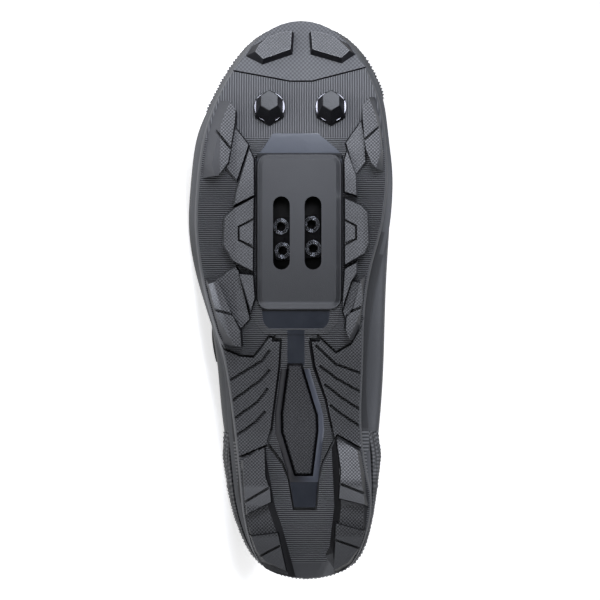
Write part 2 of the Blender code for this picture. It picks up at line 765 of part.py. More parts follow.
HEEL_LUGS = [
    (
        LUG_FACE,
        True,
        [(0.205, -0.285), (0.226, -0.178), (0.177, -0.173), (0.156, -0.150), (0.137, -0.145), (0.116, -0.262)]
        + [(0.137, -0.272)],
    ),
    (
        LUG_FACE,
        True,
        [(0.075, -0.242), (0.081, -0.111), (0.060, -0.098), (0.014, -0.070), (0.031, -0.175)]
        + [(0.049, -0.215)],
    ),
    (
        LUG_FACE,
        True,
        [(0.241, 0.183), (0.222, 0.285), (0.174, 0.305), (0.132, 0.322), (0.143, 0.195), (0.165, 0.200)]
        + [(0.187, 0.205)],
    ),
    (
        LUG_FACE,
        True,
        [(0.098, 0.179), (0.084, 0.320), (0.056, 0.298), (0.028, 0.238), (0.014, 0.167), (0.058, 0.175)],
    ),
]

# The rails that the heel's lugs stand on, on both sides of a low channel: along, across.
HEEL_RAILS = [
    [(0.226, -0.209), (0.128, -0.160), (0.085, -0.120), (0.006, -0.060), (0.012, -0.120), (0.039, -0.190)]
    + [(0.085, -0.249), (0.139, -0.284), (0.189, -0.299)],
    [(0.246, 0.190), (0.128, 0.205), (0.067, 0.185), (0.010, 0.175), (0.026, 0.234), (0.057, 0.294)]
    + [(0.094, 0.314), (0.139, 0.319), (0.221, 0.299)],
]

# Narrow cuts across the tall lugs, and the C-shaped cuts in the six-sided ones: along, across.
FRONT_SIPES = [
    [(0.812, -0.450), (0.755, -0.320)],
    [(0.646, -0.200), (0.630, -0.306), (0.606, -0.306), (0.590, -0.200)],
    [(0.487, -0.470), (0.474, -0.310)],
    [(0.772, 0.290), (0.815, 0.430)],
    [(0.647, 0.190), (0.632, 0.278), (0.608, 0.280), (0.596, 0.190)],
    [(0.475, 0.210), (0.494, 0.350)],
]
HEEL_SIPES = [
    [(0.130, -0.310), (0.168, -0.110)],
    [(0.028, -0.260), (0.066, -0.060)],
    [(0.170, 0.165), (0.147, 0.350)],
    [(0.072, 0.150), (0.047, 0.350)],
]
LATERAL_RIBS = [
    [(0.350, -0.375), (0.392, -0.190), (0.411, -0.150)],
    [(0.312, -0.355), (0.355, -0.200), (0.376, -0.150)],
    [(0.280, -0.340), (0.315, -0.210), (0.341, -0.160)],
    [(0.248, -0.330), (0.277, -0.220), (0.297, -0.172)],
]
MEDIAL_RIBS = [
    [(0.420, 0.078), (0.386, 0.179), (0.367, 0.320)],
    [(0.383, 0.098), (0.358, 0.188), (0.330, 0.320)],
    [(0.349, 0.122), (0.325, 0.200), (0.295, 0.320)],
    [(0.309, 0.150), (0.291, 0.210), (0.264, 0.320)],
]


LUG_SPREAD = 0.9 * MM  # how much wider a lug is at its foot
RAIL_SPREAD = 3.8 * MM
LUG_SINK = 0.6 * MM  # how far a lug's foot reaches into the pad
FLARE_FROM, FLARE_TO = 0.70, 0.82  # where walls start to run out to the rim, as shares of the half width
FLARE_REACH = 0.955


def flared(outline, spread):
    """The foot of a lug whose outer wall runs out to the sole's rim, and whose other walls spread alike."""
    foot = []
    for x, y in inset(outline, -spread):
        side = -1 if y < 0 else 1
        rim = float(EDGE[side](turn(x / LENGTH))) * BALL_WIDTH
        out = soft_step(y / rim, FLARE_FROM, FLARE_TO)
        foot.append((x, mix(y, rim * FLARE_REACH, out)))
    return foot


def lug(face, side_wall, points, spread=LUG_SPREAD):
    """A lug on the pad. Its outer wall may run out to the sole's rim."""
    outline = flat(points)
    wide = flared(outline, spread) if side_wall else inset(outline, -spread)
    return prism(outline, face, TREAD_FACE - LUG_SINK, wide)


def tread(name, outline, lugs, sipes=(), cuts=(), rails=()):
    """A piece of the tread: a low pad, rails and lugs standing on it and narrow cuts in them."""
    base = prism(flat(outline), TREAD_FACE, GAP)
    adds = [lug(RAIL_FACE, True, points, RAIL_SPREAD) for points in rails]
    adds += [lug(depth, side_wall, points) for depth, side_wall, points in lugs]
    slits = [ribbon(line, SIPE_WIDTH, LUG_FACE + MM, LUG_FACE - SIPE_DEPTH) for line in sipes]
    column = prism(inset(flat(outline), -0.05 * MM), LUG_FACE + MM, -MM)
    return bend(carved(name, base, adds, slits + list(cuts), [column]))


def forefoot_outline():
    outline = edge_run(-1, 0.44, 0.90) + moved(TOE_SEAM, along=-GAP) + edge_run(1, 0.905, 0.475)
    return outline + REAR_MEDIAL[::-1] + REAR_LATERAL[::-1]


def heel_outline():
    return edge_run(-1, 0.0, 0.20) + moved(HEEL_FRONT, along=-GAP) + edge_run(1, 0.215, 0.0)[:-1]


def window():
    return flat(WINDOW, PLATE_WIDTH)


def grown(outline):
    """A cutter round a neighbour, which leaves the groove between them."""
    return prism(inset(outline, -TREAD_GROOVE), LUG_FACE + MM, -MM)


def toe_tread():
    outline = moved(TOE_SEAM, along=GAP) + edge_run(1, 0.925, 1.0) + edge_run(-1, 1.0, 0.92)[1:]
    return tread("toe_tread", outline, TOE_LUGS)


def forefoot_tread():
    opening = prism(window(), LUG_FACE + MM, -MM)
    return tread("forefoot_tread", forefoot_outline(), FRONT_LUGS, FRONT_SIPES, [opening])


def heel_tread():
    return tread("heel_tread", heel_outline(), HEEL_LUGS, HEEL_SIPES, rails=HEEL_RAILS)


def arch_tread(name, side, ribs):
    """The ribbed rubber beside the spine, between the forefoot and heel treads."""
    outline = edge_run(side, 0.20, 0.48) + [(0.48, 0.02 * side), (0.20, 0.02 * side)]
    base = prism(flat(outline), ARCH_FACE, GAP)
    cuts = [grown(flat(SPINE)), grown(window()), grown(flat(forefoot_outline())), grown(flat(heel_outline()))]
    cuts += [ribbon(line, GROOVE_WIDTH, ARCH_FACE + MM, ARCH_FACE - GROOVE_DEPTH) for line in ribs]
    return bend(carved(name, base, [], cuts))


def rounded(length, width, corner, centre=(0.0, 0.0), segments=3):
    """A rectangle with round corners, in metres, run anticlockwise."""
    points = []
    for number in range(4):
        middle = (
            centre[0] + (length / 2 - corner) * (1, -1, -1, 1)[number],
            centre[1] + (width / 2 - corner) * (1, 1, -1, -1)[number],
        )
        for i in range(segments + 1):
            angle = math.pi / 2 * (number + i / segments)
            points.append((middle[0] + corner * math.cos(angle), middle[1] + corner * math.sin(angle)))
    return points


# The middle of the cleat plate, of its slots and of the nuts behind them, in metres.
PLATE_CENTRE = (0.621 * LENGTH, -0.004 * BALL_WIDTH)
SLOT_CENTRE = (0.619 * LENGTH, -0.014 * BALL_WIDTH)
NUT_CENTRE = (0.611 * LENGTH, -0.014 * BALL_WIDTH)
NUT_TURN = math.radians(-4.0)
POCKET_MARGIN = 4 * MM  # round the slots, for the nut plate
END_FLAT = 0.01 * MM  # left between the quarter circles of a slot's end


def slots(face, foot):
    cutters = []
    for side in (-1, 1):
        centre = (SLOT_CENTRE[0], SLOT_CENTRE[1] + side * SLOT_PITCH / 2)
        outline = rounded(SLOT_LENGTH, SLOT_WIDTH, SLOT_WIDTH / 2 - END_FLAT, centre, 4)
        cutters.append(prism(outline, face, foot))
    return cutters


def cleat_plate():
    """The cover over the cleat's fittings, with a sloping border and two slots."""
    outline = rounded(PLATE_LENGTH, PLATE_WIDTH, PLATE_CORNER, PLATE_CENTRE)
    shoulder = PLATE_FACE - PLATE_SLOPE_DEPTH
    base = prism(outline, shoulder, SHANK_FACE + GAP, inset(outline, -PLATE_SPREAD))
    crown = prism(inset(outline, PLATE_SLOPE), PLATE_FACE, shoulder - PLATE_SLOPE_DEPTH / 4, outline)
    return bend(carved("cleat_plate", base, [crown], slots(PLATE_FACE + MM, -MM)))


def pocket(face, foot):
    """The room for the nut plate, which lets it slide a little."""
    length = SLOT_LENGTH + POCKET_MARGIN
    width = SLOT_PITCH + SLOT_WIDTH + 2 * POCKET_MARGIN
    return prism(rounded(length, width, POCKET_MARGIN / 2, SLOT_CENTRE), face, foot)


def shank_plate():
    """The glossy plate that shows in front of and behind the cleat plate, and as the arch's spine."""
    base = prism(inset(window(), 2 * GAP), SHANK_FACE, GAP)
    spine = prism(flat(SPINE), SHANK_FACE, GAP)
    return bend(carved("shank_plate", base, [spine], [pocket(LUG_FACE, -MM)]))


def badge():
    """The raised bare panel in the middle of the spine."""
    outline = flat(BADGE)
    base = prism(outline, BADGE_FACE, SHANK_FACE + GAP, inset(outline, -PLATE_SPREAD))
    return bend(carved("arch_badge", base, [], []))


def nut_plate():
    """The steel plate behind the slots, with four threaded nuts that reach into them."""
    top = SHANK_FACE - NUT_PLATE_THICK
    length = NUT_PITCH_ALONG + NUT_WIDTH + 2 * MM
    width = NUT_PITCH_ACROSS + NUT_WIDTH + MM
    base = prism(rounded(length, width, NUT_WIDTH / 4), SHANK_FACE, top)
    foot = PLATE_FACE - NUT_SINK
    nuts, bores = [], []
    for x in (-0.5, 0.5):
        for y in (-0.5, 0.5):
            centre = (x * NUT_PITCH_ALONG, y * NUT_PITCH_ACROSS)
            nuts.append(prism(rounded(NUT_WIDTH, NUT_WIDTH, NUT_WIDTH / 2.02, centre, 3), foot, top + MM / 2))
            bores.append(prism(rounded(NUT_BORE, NUT_BORE, NUT_BORE / 2.02, centre, 2), foot + MM, top - MM))
    mesh = carved("nut_plate", base, nuts, bores)
    mesh.transform(Matrix.Translation((*NUT_CENTRE, 0)) @ Matrix.Rotation(NUT_TURN, 4, "Z"))
    return bend(mesh)


# The toe studs: along, across.
STUDS = {"toe_stud_lateral": (0.842, -0.1525), "toe_stud_medial": (0.842, 0.1545)}


def stud(name, along, across):
    """A six-sided screwed stud that tapers to its flat end."""
    points = []
    for i in range(6):
        angle = math.pi / 3 * i
        points.append(
            (
                along * LENGTH + STUD_TOP / 2 * math.cos(angle),
                across * BALL_WIDTH + STUD_TOP / 2 * math.sin(angle),
            )
        )
    foot = TREAD_FACE + GAP
    wide = inset(points, -(STUD_FOOT - STUD_TOP) / 2 * math.cos(math.pi / 6))
    mesh = prism(points, foot + STUD_HEIGHT, foot, wide)
    mesh.name = name
    return bend(mesh)


# Each finish: base colour, roughness, metallic.
FINISHES = {
    "upper_fabric": ((0.055, 0.057, 0.060), 0.62, 0.0),
    "lining": ((0.035, 0.036, 0.038), 0.85, 0.0),
    "midsole": ((0.055, 0.056, 0.058), 0.55, 0.0),
    "sole_rubber": ((0.060, 0.061, 0.063), 0.55, 0.0),
    "hard_plastic": ((0.045, 0.047, 0.050), 0.42, 0.0),
    "shank_gloss": ((0.020, 0.023, 0.028), 0.18, 0.0),
    "stud_black": ((0.015, 0.015, 0.016), 0.35, 0.0),
    "steel": ((0.45, 0.46, 0.48), 0.30, 1.0),
}


def finish(name):
    if name in bpy.data.materials:
        return bpy.data.materials[name]
    colour, roughness, metallic = FINISHES[name.rsplit(".", 1)[0]]
    material = bpy.data.materials.new(name)
    material.use_nodes = True
    surface = material.node_tree.nodes["Principled BSDF"]
    surface.inputs["Base Color"].default_value = (*colour, 1)
    surface.inputs["Roughness"].default_value = roughness
    surface.inputs["Metallic"].default_value = metallic
    material.diffuse_color = (*colour, 1)
    return material


# Densities for the balance on the floor, in kilograms per cubic metre.
DENSITY = {
    "upper_fabric": 950,
    "lining": 250,
    "midsole": 750,
    "sole_rubber": 1100,
    "hard_plastic": 1150,
    "shank_gloss": 1150,
    "stud_black": 1300,
    "steel": 7800,
}


def moment(mesh):
    """The volume of a closed mesh, and its first moment."""
    mesh.calc_loop_triangles()
    volume, first = 0.0, Vector((0, 0, 0))
    for triangle in mesh.loop_triangles:
        a, b, c = (mesh.vertices[i].co for i in triangle.vertices)
        part = a.dot(b.cross(c)) / 6
        volume += part
        first += part * (a + b + c) / 4
    return volume, first


def resting_side(pieces):
    """The lateral face of the pieces' convex hull that the shoe rests on, under their centre of mass."""
    mass, first = 0.0, Vector((0, 0, 0))
    shape = bmesh.new()
    for mesh, density in pieces:
        volume, volume_moment = moment(mesh)
        mass += volume * density
        first += volume_moment * density
        for vertex in mesh.vertices:
            shape.verts.new(vertex.co)
    centre = first / mass
    bmesh.ops.convex_hull(shape, input=shape.verts, use_existing_faces=False)
    found = None
    for face in shape.faces:
        face.normal_update()
        foot = centre + face.normal * (face.verts[0].co - centre).dot(face.normal)
        corners = [vertex.co for vertex in face.verts]
        turns = [(b - a).cross(foot - a).dot(face.normal) for a, b in zip(corners, corners[1:] + corners[:1])]
        if face.normal.y < -0.8 and min(turns) >= 0:
            found = (face.normal.copy(), corners[0].copy())
    shape.free()
    return found


def lying_down(normal, contact, meshes):
    """Turns the last's frame so that its resting side is the floor, toe towards -X and sole towards -Y."""
    up = -normal
    toe = Vector((1, 0, 0))
    toe = (toe - toe.dot(up) * up).normalized()
    across = up.cross(toe)
    turned = Matrix((-toe, -across, up)).to_4x4()
    corners = [turned @ vertex.co for mesh in meshes for vertex in mesh.vertices]
    low = [min(corner[i] for corner in corners) for i in range(3)]
    high = [max(corner[i] for corner in corners) for i in range(3)]
    middle = Vector(((low[0] + high[0]) / 2, (low[1] + high[1]) / 2, (turned @ contact).z))
    return Matrix.Translation(-middle) @ turned


def main():
    for old in list(bpy.data.objects):
        bpy.data.objects.remove(old)
    pieces = [
        ("sole", sole_body(), "midsole"),
        ("upper", upper(), "upper_fabric"),
        ("tongue", tongue(), "lining"),
        ("insole", insole(), "lining"),
        ("toe_rand", overlay("toe_rand", True, RAND_FROM, RAND_RISE), "sole_rubber"),
        ("heel_counter", overlay("heel_counter", False, COUNTER_TO, COUNTER_RISE), "hard_plastic"),
        ("toe_tread", toe_tread(), "sole_rubber"),
        ("forefoot_tread", forefoot_tread(), "sole_rubber"),
        ("arch_tread_lateral", arch_tread("arch_tread_lateral", -1, LATERAL_RIBS), "sole_rubber"),
        ("arch_tread_medial", arch_tread("arch_tread_medial", 1, MEDIAL_RIBS), "sole_rubber"),
        ("heel_tread", heel_tread(), "sole_rubber"),
        ("shank_plate", shank_plate(), "shank_gloss"),
        ("arch_badge", badge(), "hard_plastic"),
        ("cleat_plate", cleat_plate(), "hard_plastic"),
        ("nut_plate", nut_plate(), "steel"),
    ]
    for number, row in enumerate(STRAPS, 1):
        pieces.append((f"strap_{number}", strap(f"strap_{number}", *row), "upper_fabric"))
    for name, place in STUDS.items():
        pieces.append((name, stud(name, *place), "stud_black"))

    normal, contact = resting_side([(mesh, DENSITY[kind]) for _, mesh, kind in pieces])
    shoe = bpy.data.objects.new("shoe", None)
    bpy.context.scene.collection.objects.link(shoe)
    shoe.matrix_world = lying_down(normal, contact, [mesh for _, mesh, _ in pieces])
    for name, mesh, kind in pieces:
        piece = add_object(name, mesh)
        piece.parent = shoe
        mesh.materials.clear()
        mesh.materials.append(finish(f"{kind}.{name}"))


main()
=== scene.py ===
"""The finished look of a right off-road cycling shoe that lies on its side, seen square on to its sole."""

import json
import math

import bmesh
import bpy
from mathutils import Matrix, Vector


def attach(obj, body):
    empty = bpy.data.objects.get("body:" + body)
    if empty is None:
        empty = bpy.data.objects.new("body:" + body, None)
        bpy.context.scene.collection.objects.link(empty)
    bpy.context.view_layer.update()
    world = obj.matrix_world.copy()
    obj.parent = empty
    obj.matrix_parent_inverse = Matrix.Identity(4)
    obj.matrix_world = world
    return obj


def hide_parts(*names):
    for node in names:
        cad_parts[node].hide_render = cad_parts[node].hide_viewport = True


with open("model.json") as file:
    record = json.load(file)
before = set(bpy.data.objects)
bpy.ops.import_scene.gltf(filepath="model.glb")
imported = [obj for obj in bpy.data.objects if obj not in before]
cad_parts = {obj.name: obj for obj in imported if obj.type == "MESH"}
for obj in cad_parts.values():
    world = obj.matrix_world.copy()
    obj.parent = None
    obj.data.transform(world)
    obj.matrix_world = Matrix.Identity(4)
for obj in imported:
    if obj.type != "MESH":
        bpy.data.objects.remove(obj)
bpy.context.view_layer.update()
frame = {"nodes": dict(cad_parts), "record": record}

# The last: the wooden foot that the shoe is built round. Its X runs to the toe, its Y to the arch's side and
# its Z from the sole up. Two of the record's mounts, under the ball and under the heel, give its place in the
# frame.
MM = 0.001
LENGTH = 254 * MM
BALL_WIDTH = 91.5 * MM
HEEL_MOUNT = Vector((0.060 * LENGTH, 0.24 * BALL_WIDTH, 0))
BALL_MOUNT = Vector((0.513 * LENGTH, -0.425 * BALL_WIDTH, 0))

mounts = {mount["name"]: mount for mount in frame["record"]["mounts"]}
heel_point = Vector(mounts["heel_ground"]["pos_m"])
ball_point = Vector(mounts["forefoot_ground"]["pos_m"])
last_up = -Vector(mounts["cleat_seat"]["axis"]).normalized()
ahead = ball_point - heel_point
ahead = (ahead - ahead.dot(last_up) * last_up).normalized()
veer = math.atan2((BALL_MOUNT - HEEL_MOUNT).y, (BALL_MOUNT - HEEL_MOUNT).x)
last_toe = Matrix.Rotation(-veer, 3, last_up) @ ahead
last_arch = last_up.cross(last_toe)
from_last = Matrix((last_toe, last_arch, last_up)).transposed().to_4x4()
from_last.translation = heel_point - from_last.to_3x3() @ HEEL_MOUNT
to_last = from_last.inverted()


# The insole: a moulded foam bed under a knitted cover, laid loose in the shoe. Its edge is cut and a little
# rounded.
class Wire:
    """The output of a node. Sums, products and so on of wires and numbers add their Math nodes."""

    def __init__(self, finish, socket):
        self.finish = finish
        self.socket = socket

    def math(self, operation, *values):
        return self.finish.node("ShaderNodeMath", {"operation": operation}, dict(enumerate(values)))

    def __add__(self, other):
        return self.math("ADD", self, other)

    def __sub__(self, other):
        return self.math("SUBTRACT", self, other)

    def __rsub__(self, other):
        return self.math("SUBTRACT", other, self)

    def __mul__(self, other):
        return self.math("MULTIPLY", self, other)

    def __truediv__(self, other):
        return self.math("DIVIDE", self, other)

    def __mod__(self, other):
        return self.math("FLOORED_MODULO", self, other)

    def __pow__(self, other):
        return self.math("POWER", self, other)

    def __abs__(self):
        return self.math("ABSOLUTE", self)

    __radd__ = __add__
    __rmul__ = __mul__

    def sine(self, pitch):
        """A wave of that pitch, from -1 to 1."""
        return self.math("SINE", self * (2 * math.pi / pitch))

    def at_least(self, low):
        return self.math("MAXIMUM", self, low)

    def over(self, edge, soft):
        """0 below an edge and 1 above it, with a soft step between."""
        limits = {"Value": self, "From Min": edge - soft, "From Max": edge + soft}
        return self.finish.node("ShaderNodeMapRange", {"interpolation_type": "SMOOTHSTEP"}, limits)

    def between(self, low, high, soft):
        return self.over(low, soft) * (1 - self.over(high, soft))


class Finish:
    """The material of one piece: a Principled surface and the nodes that vary it."""

    def __init__(self, name, colour, roughness, metallic=0.0, sheen=0.0, specular=0.3):
        self.material = bpy.data.materials.new(name)
        self.material.use_nodes = True
        self.tree = self.material.node_tree
        self.surface = self.tree.nodes["Principled BSDF"].inputs
        self.surface["Base Color"].default_value = (*colour, 1)
        self.surface["Roughness"].default_value = roughness
        self.surface["Metallic"].default_value = metallic
        self.surface["Sheen Weight"].default_value = sheen
        self.surface["Specular IOR Level"].default_value = specular
        self.material.diffuse_color = (*colour, 1)

    def node(self, kind, settings, sockets, output=0):
        """Adds a node with its settings and its sockets' values or wires. Returns one of its outputs."""
        made = self.tree.nodes.new(kind)
        for key, value in settings.items():
            setattr(made, key, value)
        for key, value in sockets.items():
            if isinstance(value, Wire):
                self.tree.links.new(value.socket, made.inputs[key])
            else:
                made.inputs[key].default_value = value
        return Wire(self, made.outputs[output])

    def feed(self, socket, wire):
        self.tree.links.new(wire.socket, self.surface[socket])

    def place(self):
        """The place on the last, in metres, as a vector and as its three parts."""
        spot = self.node("ShaderNodeTexCoord", {}, {}, "Object")
        turned = {"Vector": spot, "Location": from_last.translation, "Rotation": from_last.to_euler()}
        spot = self.node("ShaderNodeMapping", {"vector_type": "TEXTURE"}, turned)
        parts = [self.node("ShaderNodeSeparateXYZ", {}, {"Vector": spot}, part) for part in "XYZ"]
        return [spot] + parts

    def mix(self, share, one, two):
        """One colour changing into another."""
        colours = [value if isinstance(value, Wire) else (*value, 1) for value in (one, two)]
        sockets = {0: share, 6: colours[0], 7: colours[1]}
        return self.node("ShaderNodeMix", {"data_type": "RGBA"}, sockets, 2)

    def scaled(self, colour, factor):
        sockets = {0: colour, "Scale": factor}
        return self.node("ShaderNodeVectorMath", {"operation": "SCALE"}, sockets, "Vector")

    def kept(self, name):
        """A number that the mesh keeps for each of its vertices or faces."""
        return self.node("ShaderNodeAttribute", {"attribute_name": name}, {}, "Fac")

    def speckle(self, spot, size, detail=2.0):
        """Noise whose grains are about that size, in metres, from 0 to 1."""
        sockets = {"Vector": spot, "Scale": 1 / size, "Detail": detail}
        return self.node("ShaderNodeTexNoise", {}, sockets)

    def relief(self, height, depth):
        """Gives the surface a relief: a height from 0 to 1 times a depth in metres."""
        sockets = {"Height": height, "Distance": depth, "Strength": 1.0}
        self.feed("Normal", self.node("ShaderNodeBump", {}, sockets))


def merged(name):
    """A bmesh of a CAD node, its loose triangles joined."""
    shape = bmesh.new()
    shape.from_mesh(frame["nodes"][name].data)
    bmesh.ops.remove_doubles(shape, verts=shape.verts, dist=0.002 * MM)
    return shape


def piece_from(shape, name, finish, nodes=()):
    """Makes a piece of a bmesh, gives it its finish and lets it ride on the shoe in place of CAD nodes."""
    mesh = bpy.data.meshes.new(name)
    shape.to_mesh(mesh)
    shape.free()
    mesh.polygons.foreach_set("use_smooth", [True] * len(mesh.polygons))
    piece = bpy.data.objects.new(name, mesh)
    bpy.context.scene.collection.objects.link(piece)
    mesh.materials.append(finish.material)
    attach(piece, "root")
    if nodes:
        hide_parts(*nodes)
    return piece


def joined(name):
    """A bmesh of a CAD node, its triangles joined to faces of four corners where they fit."""
    shape = merged(name)
    bmesh.ops.join_triangles(
        shape, faces=shape.faces,
        angle_face_threshold=math.radians(40), angle_shape_threshold=math.radians(60),
    )
    return shape


def rounded_form(name, crease_over, crease=0.9):
    """A CAD node as a cage for a subdivision surface, with its sharp edges creased."""
    shape = joined(name)
    creases = shape.edges.layers.float.new("crease_edge")
    for edge in shape.edges:
        if len(edge.link_faces) == 2 and edge.calc_face_angle() > math.radians(crease_over):
            edge[creases] = crease
    return shape


def subdivided(piece, levels=2):
    modifier = piece.modifiers.new("rounding", "SUBSURF")
    modifier.levels = levels
    modifier.render_levels = levels
    return piece


knit = Finish("insole_knit", (0.030, 0.032, 0.034), 0.85, sheen=0.3)
spot, along, across = knit.place()[:3]
loops = abs(along.sine(1.6 * MM)) * abs(across.sine(1.6 * MM))
knit.relief(loops, 0.25 * MM)
knit.feed("Base Color", knit.mix(knit.speckle(spot, 12 * MM), (0.026, 0.028, 0.030), (0.040, 0.042, 0.045)))
subdivided(piece_from(rounded_form("insole", 40), "insole_bed", knit, ["insole"]))


# The upper: a microfibre shell over a moulded film that runs round its foot, with lapped and stitched seams,
# rows of small holes at the sides, and a padded collar lined with a knitted mesh. It has creased a little at
# the ball.
STITCH = 3.6 * MM
STITCH_SHARE = (-0.5, 0.4)  # the edge and softness of a stitch on its wave


def lapped(distance, run):
    """A lapped seam: on which side of it a place lies, its groove, and two rows of stitches along its run."""
    lap = 1 - distance.over(0, 0.3 * MM)
    groove = 1 - abs(distance).over(0.5 * MM, 0.4 * MM)
    rows = 1 - abs(abs(distance + 2.7 * MM) - 0.9 * MM).over(0.4 * MM, 0.3 * MM)
    return lap, groove, rows * run.sine(STITCH).over(*STITCH_SHARE)


PALE_THREAD = (0.120, 0.122, 0.126)
HOLE_STEP, HOLE_ROWS = 5 * MM, 6 * MM
HOLE_RADIUS = 0.8 * MM
HOLES_FROM, HOLES_TO = 118 * MM, 186 * MM
HOLES_LOW, HOLES_HIGH = 45 * MM, 58 * MM
FILM_TOP = 45 * MM
CAP_FRONT = 0.775 * LENGTH
CAP_FOOT = 39 * MM
STAY_FRONT = 0.60 * LENGTH
STAY_REACH = 0.30 * BALL_WIDTH
COLLAR_FRONT = 0.342 * LENGTH
CUFF_HEIGHT = 62 * MM
CUFF_DROP = 11 * MM
CUFF_RISE = 40 * MM
microfibre = Finish("upper_microfibre", (0.062, 0.064, 0.067), 0.55)
spot, along, across, up = microfibre.place()
side = abs(across)
grain = microfibre.speckle(spot, 0.9 * MM, 4.0)
girth = up - side
loose = along.over(0.22 * LENGTH, 14 * MM)
knitted = abs(along.sine(2.2 * MM)) * abs(girth.sine(2.6 * MM)) * loose + (1 - loose) * 0.45
row = (along % HOLE_STEP - HOLE_STEP / 2) ** 2 + (girth % HOLE_ROWS - HOLE_ROWS / 2) ** 2
holes = (1 - row.over(HOLE_RADIUS**2, (0.45 * MM) ** 2)) * along.between(HOLES_FROM, HOLES_TO, 2 * MM)
holes = holes * up.between(HOLES_LOW, HOLES_HIGH, 1 * MM)
film, film_groove, film_thread = lapped(up - FILM_TOP + along * 0.05, along)
cap, cap_groove, cap_thread = lapped(side**2 * 9 + CAP_FRONT - along, across)
ahead = (along - STAY_FRONT).at_least(0.0)
stay_edge = (side**2 + ahead**2 * 1.6) ** 0.5 - STAY_REACH
stay, stay_groove, stay_thread = lapped(stay_edge, along)
stayed = along.over(COLLAR_FRONT, 0.5 * MM)
cuff_line = CUFF_HEIGHT - along.over(0.10 * LENGTH, 35 * MM) * CUFF_DROP
cuff_line = cuff_line + along.over(0.33 * LENGTH, 20 * MM) * CUFF_RISE
cuff_groove, cuff_thread = lapped(cuff_line - up, along)[1:]
cuffed = 1 - stayed
capped = up.over(CAP_FOOT, 1 * MM) * (1 - stay * stayed)
grooves = film_groove + cap_groove * capped + stay_groove * stayed + cuff_groove * cuffed
thread = film_thread + cap_thread * capped + stay_thread * stayed + cuff_thread * cuffed
laps = film + cap * capped * 0.8 + stay * stayed
smooth = laps.over(0.4, 0.2)
surface = grain * 0.2 + (1 - smooth) * knitted * 0.35 + laps * 0.8 + thread * 0.7 - grooves * 1.2 - holes
microfibre.relief(surface, 0.4 * MM)
worn = microfibre.speckle(spot, 25 * MM)
plain = microfibre.mix(worn, (0.054, 0.056, 0.060), (0.066, 0.068, 0.072))
fabric = microfibre.mix(knitted, (0.030, 0.031, 0.034), (0.058, 0.060, 0.064))
colour = microfibre.mix(smooth, fabric, plain)
colour = microfibre.mix(thread, colour, PALE_THREAD)
# Painted shade: the seams' grooves and the small holes are darkened almost to black.
colour = microfibre.mix(grooves + holes, colour, (0.006, 0.006, 0.006))
microfibre.feed("Base Color", colour)
microfibre.feed("Roughness", grain * 0.15 + (1 - smooth) * 0.25 + 0.42)

lining = Finish("collar_mesh", (0.030, 0.031, 0.033), 0.9, sheen=0.3)
_, along, _, up = lining.place()
mesh_pores = abs(along.sine(2.4 * MM)) * abs(up.sine(2.4 * MM))
lining.relief(mesh_pores, 0.4 * MM)
lining.feed("Base Color", lining.mix(mesh_pores, (0.014, 0.014, 0.015), (0.042, 0.043, 0.046)))


def smoothed(shape, levels):
    """The shape with its subdivision surface made real, so that finer forms can be laid on it."""
    mesh = bpy.data.meshes.new("cage")
    shape.to_mesh(mesh)
    shape.free()
    cage = subdivided(bpy.data.objects.new("cage", mesh), levels)
    bpy.context.scene.collection.objects.link(cage)
    smooth = bmesh.new()
    smooth.from_object(cage, bpy.context.evaluated_depsgraph_get())
    bpy.data.objects.remove(cage)
    smooth.normal_update()
    return smooth


def hump(distance, width):
    return math.exp(-((distance / width) ** 2))


def ramp(value, start, span):
    """How much of a span a value has passed from its start on, from 0 to 1."""
    return min(max((value - start) / span, 0.0), 1.0)


HOLLOW = Vector((60 * MM, 0, 45 * MM))  # the middle of the heel's hollow, on the last


def outwards(point):
    """The direction out of the foot's hollow, by which the shell's faces are told from the lining's."""
    return Vector((min(point.x - HOLLOW.x, 0), point.y, point.z - HOLLOW.z))


CREASES = ((0.648, 1.0), (0.683, 0.8), (0.716, 0.5))  # a share of the length, and the crease's strength
CREASE_LEAN = 0.22
CREASED_FROM = 30 * MM
COLLAR_END = 0.33 * LENGTH
COLLAR_PADDING = 9 * MM  # how far the fullest part of the padding lies above the cuff's seam
shape = smoothed(rounded_form("upper", 60, 0.5), 2)
for vertex in shape.verts:
    point = to_last @ vertex.co
    normal = to_last.to_3x3() @ vertex.normal
    if normal.dot(outwards(point)) > 0 and point.z > CREASED_FROM:
        lift = ramp(point.z, CREASED_FROM, 18 * MM)
        push = 0.0
        for place, strength in CREASES:
            away = point.x - place * LENGTH - CREASE_LEAN * point.y
            push += strength * lift * (0.6 * hump(away - 5 * MM, 3 * MM) - 1.1 * hump(away, 2.4 * MM))
        rim = CUFF_HEIGHT - CUFF_DROP * ramp(point.x, 0.1 * LENGTH, 35 * MM)
        if point.x < COLLAR_END:
            fading = ramp(COLLAR_END - point.x, 0, 12 * MM)
            push += 1.3 * hump(point.z - rim - COLLAR_PADDING, 6 * MM) * fading
        vertex.co += vertex.normal * push * MM
shape.normal_update()
for face in shape.faces:
    centre = to_last @ face.calc_center_median()
    normal = to_last.to_3x3() @ face.normal
    face.material_index = int(normal.dot(outwards(centre)) < 0)
shell = piece_from(shape, "upper_shell", microfibre, ["upper"])
shell.data.materials.append(lining.material)

